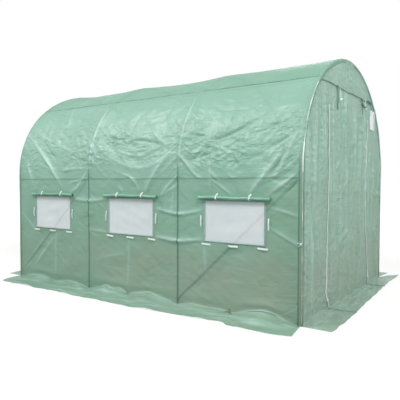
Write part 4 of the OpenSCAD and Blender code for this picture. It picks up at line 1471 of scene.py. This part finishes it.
def toggles():
    """A waisted barrel on a loop of cord from the lintel; each row is x, height and lean."""
    pile = Pile()
    for x, z, lean in TOGGLES:
        middle = np.array([x, FACE_Y - 0.0085, z])
        axis = np.array([math.cos(lean), 0, math.sin(lean)])
        t = np.linspace(-1, 1, 15)
        size = 0.0075 * np.sqrt(np.clip(1 - np.abs(t) ** 6, 0.03, 1)) * (1 - 0.22 * np.exp(-(t / 0.18) ** 2))
        ring = np.stack([round_ring(r, 14) for r in size])
        pile.closed(sweep(middle + axis * t[:, None] * 0.021, ring, (0, -1, 0)))
        for way in (-1, 1):
            cord = [middle + (0.001 * way, 0.004, 0), middle + (way * 0.010, 0.006, 0.020),
                    middle + (way * 0.014, 0.006, 0.045), middle + (way * 0.006, 0.006, 0.070),
                    (x - 0.02, FACE_Y - 0.001, LINTEL_Z)]
            pile.closed(sweep(smooth_path(cord, 22), round_ring(0.0016, 7), (0, -1, 0)))
    piece = pile.piece("toggles_on_cords", WHITE_TAPE)
    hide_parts("door_toggles")


toggles()
print(len(TOGGLES), "toggles hung")

# %% [markdown]
# ## Seams and rims
# The gables are sewn to the tunnel over the end hoops. The seam wraps the hoop: a strip on the roof side, a
# round over the tube and a strip on the gable. Plain beads would miss the wrap, so one narrow section is
# swept along the whole arch. Flat welded strips mark the shoulders and the lintel.

# %% Rims over the end hoops
RIM_WRAP = [(0.0004, -0.012), (0.0020, -0.006), (0.0022, 0.000), (-0.0004, 0.0050), (-0.005, 0.0074),
            (-0.012, 0.0070), (-0.019, 0.0042)]
SEAM_INSET = 0.021


def arch_points(count):
    """The whole arch from the left foot to the right foot, with outward directions."""
    run = np.linspace(0.004, S_SHOULDER + (S_END - S_SHOULDER) / 2, count)
    right = np.stack(section(run), axis=1)
    left = right * (-1, 1, -1, 1)
    return np.concatenate([left, right[::-1][1:]]).T


def rim(face, name):
    """The wrap round an end hoop, and the darker seam just inside it on the gable."""
    x, z, nx, nz = arch_points(150)
    grid = np.zeros((len(x), len(RIM_WRAP), 3))
    for number, (out, along) in enumerate(RIM_WRAP):
        swell = 1 + 0.12 * np.sin(np.arange(len(x)) * 0.45 + number)
        grid[:, number, 0] = x + nx * out * swell
        grid[:, number, 1] = face * (END_Y + along)
        grid[:, number, 2] = z + nz * out * swell
    wrap = Pile()
    wrap.add(grid)
    piece = wrap.piece(name, WALL_FILM)
    in_x, in_z = x - nx * SEAM_INSET, z - nz * SEAM_INSET
    inner = np.stack([in_x, np.full(len(x), face * (END_Y + 0.0066)), in_z], axis=1)
    wide = 0.0055 + 0.020 * np.exp(-((in_x + 0.33) / 0.22) ** 4) * (in_z > 1.6) - 0.0025 * (in_x > 0)
    ring = np.stack([tape_ring(w, 0.0016) for w in wide])
    seam = Pile()
    seam.closed(sweep(inner, ring, (0, face, 0)))
    piece = seam.piece(name + "_seam", SEAM_FILM)


rim(-1, "front_rim")
rim(1, "rear_rim")
print("rims wrapped over both end hoops")

# %% Shoulder and lintel strips
LINTEL_HALF = 0.672
strips = Pile()
for side in (-1, 1):
    x, z, nx, nz = section(np.array([S_SHOULDER]))
    y = np.linspace(-END_Y, END_Y, 160)
    off = 0.0015 + 0.0008 * np.sin(31 * y)
    path = np.stack([side * (x + nx * off), y, z + nz * off], axis=1)
    strips.closed(sweep(path, tape_ring(0.009, 0.0014), (side * nx[0], 0, nz[0])))
strip = strips.piece("shoulder_strips", WALL_FILM)
strips = Pile()
for face in (-1, 1):
    x = np.linspace(-LINTEL_HALF, LINTEL_HALF, 120)
    z = LINTEL_Z - 0.003 + 0.003 * np.sin(11 * x) + 0.002 * np.sin(23 * x + 1)
    path = np.stack([x, np.full_like(x, face * (END_Y + 0.0080)), z], axis=1)
    strips.closed(sweep(path, tape_ring(0.009, 0.0018), (0, face, 0)))
for table in (ZIP_LEFT, ZIP_RIGHT):
    away = np.linspace(0, 1, 30)
    start = float(zip_x(table, np.array(0.0)))
    reach = float(follow(FRONT_REACH, start)) - 0.004
    x = start + 0.012 * away + 0.003 * np.sin(9 * away)
    path = np.stack([x, -(END_Y + 0.006 + reach * away), 0.0062 + 0 * away], axis=1)
    strips.closed(sweep(path, tape_ring(0.015, 0.0018), (0, 0, 1)))
strip = strips.piece("lintel_strips", SEAM_FILM)
print("strips sewn on shoulders, lintels and the door's skirt")

# %% [markdown]
# ## Small trim on the front corners and the foot
# A pale patch is sewn beside the right zip and is left bare. Along both front corners a light piping holds
# the edge of the gable; above the rail the outer bead runs on as a thin pale line, a painted highlight of
# the corner's edge. It could be one even bead, but on the real one it shows only here and there, so its
# thickness changes. At the foot of the walls short dark ties hold the film to the base rail, one in each
# bay.

# %% Patch
PATCH_LOW, PATCH_TOP, PATCH_LEFT, PATCH_RIGHT = 1.452, 1.632, 0.574, 0.742


def sewn_patch():
    z_line = np.linspace(PATCH_LOW, PATCH_TOP, 19)
    t = np.linspace(0, 1, 17)
    left = PATCH_LEFT + 0.006 * np.sin(20 * z_line)
    right = np.minimum(PATCH_RIGHT, half_width(z_line) - 0.035)
    x = left[:, None] + t * (right - left)[:, None]
    z = np.repeat(z_line[:, None], len(t), axis=1)
    y = -(END_Y + 0.0078 + 0.002 * np.sin(14 * x + 9 * z))
    pile = Pile()
    pile.add(np.stack([x, y, z], axis=-1), flat=np.stack([x, z], axis=-1))
    piece = pile.piece("sewn_patch", WHITE_TAPE)


sewn_patch()
print("patch", round(PATCH_TOP - PATCH_LOW, 3), "m high")

# %% Piping
# The outer bead's thin run above the rail is a painted highlight along the corner's edge.
PIPES = ((1.0165, 1.66, 0.0042, 1), (0.966, 1.19, 0.0022, 2))
CORNER_KNOT_Z = 0.548


def pipe_radius(z, radius, seed):
    """Full over a short stretch above the rail, thin and broken elsewhere."""
    usual = np.where(z > 1.1, 0.42, np.where(z > 0.5, 0.28, 0.16))
    broken = np.clip(usual + 0.2 * np.sin(37 * z) * np.sin(11 * z), 0.1, 1)
    full = (z > 1.02) & (z < 1.215)
    return radius * (1 + 0.3 * np.sin(17 * z + seed)) * np.where(full, 1.0, broken)


def piping():
    """Two light beads up each front corner, the outer one's upper run a painted highlight, and a knot with
    three ends; a row is x, top, radius, phase.
    """
    pile = Pile()
    for side in (-1, 1):
        for x, top, radius, seed in PIPES:
            z = np.linspace(0.02, top, 200)
            room = np.minimum(x, half_width(z) - (WALL_X - x))
            wander = 0.0012 * np.sin(23 * z + seed) + 0.0008 * np.sin(51 * z)
            ring = np.stack([round_ring(r, 7) for r in pipe_radius(z, radius, seed)])
            path = np.stack([side * (room + wander), np.full_like(z, -(END_Y + 0.0075)), z], axis=1)
            pile.closed(sweep(path, ring, (0, -1, 0)))
        base = np.array([side * 1.0175, -(END_Y - 0.001), CORNER_KNOT_Z])
        pile.closed(base + knot_ball((0.006, 0.007, 0.007), upright=True))
        for dy, dz in ((0.024, 0.006), (0.018, -0.016), (-0.012, 0.012)):
            run = [base, base + (side * 0.004, dy * 0.5, dz * 0.7), base + (side * 0.001, dy, dz)]
            pile.closed(sweep(smooth_path(run, 9), round_ring(0.0022, 6), (side, 0, 0)))
    piece = pile.piece("corner_piping_and_highlight", ZIP_TAPE)


piping()
print("piping on both front corners")

# %% Foot ties
def foot_ties():
    """A knot at the base rail in each bay, with two ends on the skirt and one up the wall."""
    for side, which in SIDES:
        pile = Pile()
        for bay in BAYS:
            y = bay + (0.03 if side < 0 else -0.02)
            base = np.array([side * (WALL_X + 0.007), y, 0.018])
            pile.closed(base + knot_ball((0.009, 0.013, 0.010), around=12, along=8))
            for way in (-1, 1):
                run = [base, base + (side * 0.010, way * 0.016, 0.006),
                       base + (side * 0.020, way * 0.030, -0.004), base + (side * 0.026, way * 0.040, -0.012)]
                pile.closed(sweep(smooth_path(run, 14), tape_ring(0.008, 0.0016), (0, 0, 1)))
            up = [base, base + (-side * 0.004, 0.002, 0.012), base + (-side * 0.006, -0.002, 0.026)]
            pile.closed(sweep(smooth_path(up, 8), tape_ring(0.012, 0.0016), (side, 0, 0)))
        piece = pile.piece(f"{which}_foot_ties", DARK_WEBBING)
        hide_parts("cover_ties")


foot_ties()
print("foot tied in every bay")

# %% [markdown]
# ## Galvanised steel
# The frame keeps its solids. Hot zinc leaves a spangle of large pale crystals and a dull grey sheen. Plain
# grey metal would be simpler, but bare tube shows from inside and through the nets, so a Voronoi pattern
# gives the crystals, and noise the sheen.

# %% Steel finish
def steel(name, light, shade, rough):
    material, tree, place, _, surface = start_material(name)
    spangle = node(tree, "TexVoronoi", {"Vector": place, "Scale": 160.0}).outputs["Color"]
    crystal = node(tree, "SeparateColor", {0: spangle}).outputs[0]
    tone = place_group(tree, patchy_tone, {"Place": place, "Size": 0.08})
    dusted = place_group(tree, ground_dust, {"Place": place, "Clean Height": 0.15})
    colour = blend(tree, times(tree, crystal, 0.5), light, shade)
    colour = blend(tree, times(tree, tone["Patch"], 0.3), colour, shade)
    colour = blend(tree, times(tree, dusted["Dust"], 0.35), colour, (0.33, 0.30, 0.24, 1))
    gloss = plus(tree, times(tree, crystal, 0.14), rough)
    bump = node(tree, "Bump", {"Height": tone["Fine"], "Strength": 0.12, "Distance": 0.0004}).outputs[0]
    face = node(tree, "BsdfPrincipled", {"Base Color": colour, "Roughness": gloss, "Normal": bump,
                                         "Metallic": 0.85})
    tree.links.new(face.outputs[0], surface)
    return material


TUBE_STEEL = steel("tube_zinc", (0.66, 0.68, 0.69, 1), (0.48, 0.50, 0.52, 1), 0.34)
SLEEVE_STEEL = steel("sleeve_zinc", (0.54, 0.56, 0.58, 1), (0.38, 0.40, 0.42, 1), 0.42)
SLEEVES = ["base_tees", "side_sleeves", "shoulder_sleeves"]
TUBES = ["crown_bars", "front_lintel", "rear_lintel", "door_posts"]
for part in ("legs", "bends", "base_rails", "side_rails", "shoulder_rails", "braces"):
    TUBES += ["left_" + part, "right_" + part]
for names, finish in ((SLEEVES, SLEEVE_STEEL), (TUBES, TUBE_STEEL)):
    for name in names:
        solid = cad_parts[name]
        solid.data.materials.clear()
        solid.data.materials.append(finish)
print("steel on", len(SLEEVES) + len(TUBES), "nodes")

# %% [markdown]
# ## Floor and light
# A pale floor under a white world gives the plain studio. The floor must stay white in the picture but
# still take a shadow, so it adds a little white of its own for camera, glossy and transmitted rays only.
# Four soft lamps stand round the tunnel. The two strong ones are high on the left, one towards the rear and
# one towards the front, which lights the shoulders more than the walls. The weaker two open up the right
# side and the front gable.

# %% Studio
FLOOR_HALF, FLOOR_Z = 60, -0.001
SKY_LIGHT = 0.26


def seen_rays(tree):
    """The ray sockets, and a mask of the rays that should meet a white background."""
    rays = node(tree, "LightPath").outputs
    through = calc(tree, "MAXIMUM", rays["Is Glossy Ray"], rays["Is Transmission Ray"])
    return rays, calc(tree, "MAXIMUM", rays["Is Camera Ray"], through)


def white_room():
    world = bpy.data.worlds.new("white_room")
    bpy.context.scene.world = world
    world.use_nodes = True
    tree = world.node_tree
    tree.nodes.clear()
    _, seen = seen_rays(tree)
    strength = plus(tree, times(tree, seen, 1 - SKY_LIGHT), SKY_LIGHT)
    sky = node(tree, "Background", {"Color": (1, 1, 1, 1), "Strength": strength})
    tree.links.new(sky.outputs[0], node(tree, "OutputWorld").inputs["Surface"])


def pale_floor():
    mesh = bpy.data.meshes.new("pale_floor")
    corners = [(x * FLOOR_HALF, y * FLOOR_HALF, FLOOR_Z) for x, y in ((-1, -1), (1, -1), (1, 1), (-1, 1))]
    mesh.from_pydata(corners, [], [(0, 1, 2, 3)])
    floor = bpy.data.objects.new("pale_floor", mesh)
    bpy.context.scene.collection.objects.link(floor)
    paper, tree, place, _, surface = start_material("floor_paper")
    rays, seen = seen_rays(tree)
    grain = node(tree, "TexNoise", {"Vector": place, "Scale": 30.0}).outputs[0]
    shade = blend(tree, grain, (0.40, 0.40, 0.39, 1), (0.43, 0.43, 0.42, 1))
    matt = node(tree, "BsdfDiffuse", {"Color": shade})
    bare = calc(tree, "LESS_THAN", rays["Transparent Depth"], 0.5)
    distance = node(tree, "VectorMath", {0: place}, operation="LENGTH").outputs["Value"]
    white = between(tree, distance, 3.0, 8.0, 0.62, 1.0)
    own_white = node(tree, "Emission", {"Color": (1, 1, 1, 1), "Strength": times(tree, seen, bare, white)})
    both = node(tree, "AddShader", {0: matt.outputs[0], 1: own_white.outputs[0]})
    tree.links.new(both.outputs[0], surface)
    mesh.materials.append(paper)


white_room()
pale_floor()
print("white room and floor ready")

# %% Lamps
def lamp(name, place, aim, size, watts):
    data = bpy.data.lights.new(name, "AREA")
    data.shape = "RECTANGLE"
    data.size = size
    data.size_y = size
    data.energy = watts
    light = bpy.data.objects.new(name, data)
    light.location = place
    light.rotation_euler = (Vector(aim) - Vector(place)).to_track_quat("-Z", "Y").to_euler()
    bpy.context.scene.collection.objects.link(light)


WALL_MIDDLE, DOOR_MIDDLE = (0, 0, 0.9), (0, -1.5, 1.2)
lamp("sky_softbox", (-3.9, 3.0, 5.7), WALL_MIDDLE, 2.6, 320)
lamp("key_softbox", (-4.0, -4.2, 5.4), WALL_MIDDLE, 1.8, 310)
lamp("fill_softbox", (6.0, 0.5, 4.0), WALL_MIDDLE, 3.0, 80)
lamp("front_softbox", (2.2, -6.6, 4.2), DOOR_MIDDLE, 3.0, 145)
bpy.context.scene.view_settings.view_transform = "Standard"
print("studio ready:", len(bpy.data.lights), "lamps")

# %% [markdown]
# ## Last update
# The view layer is brought up to date once every piece is made. The dressed tunnel has to stay inside
# the box of its solids, apart from a little room for loose film.

# %% Finish
bpy.context.view_layer.update()
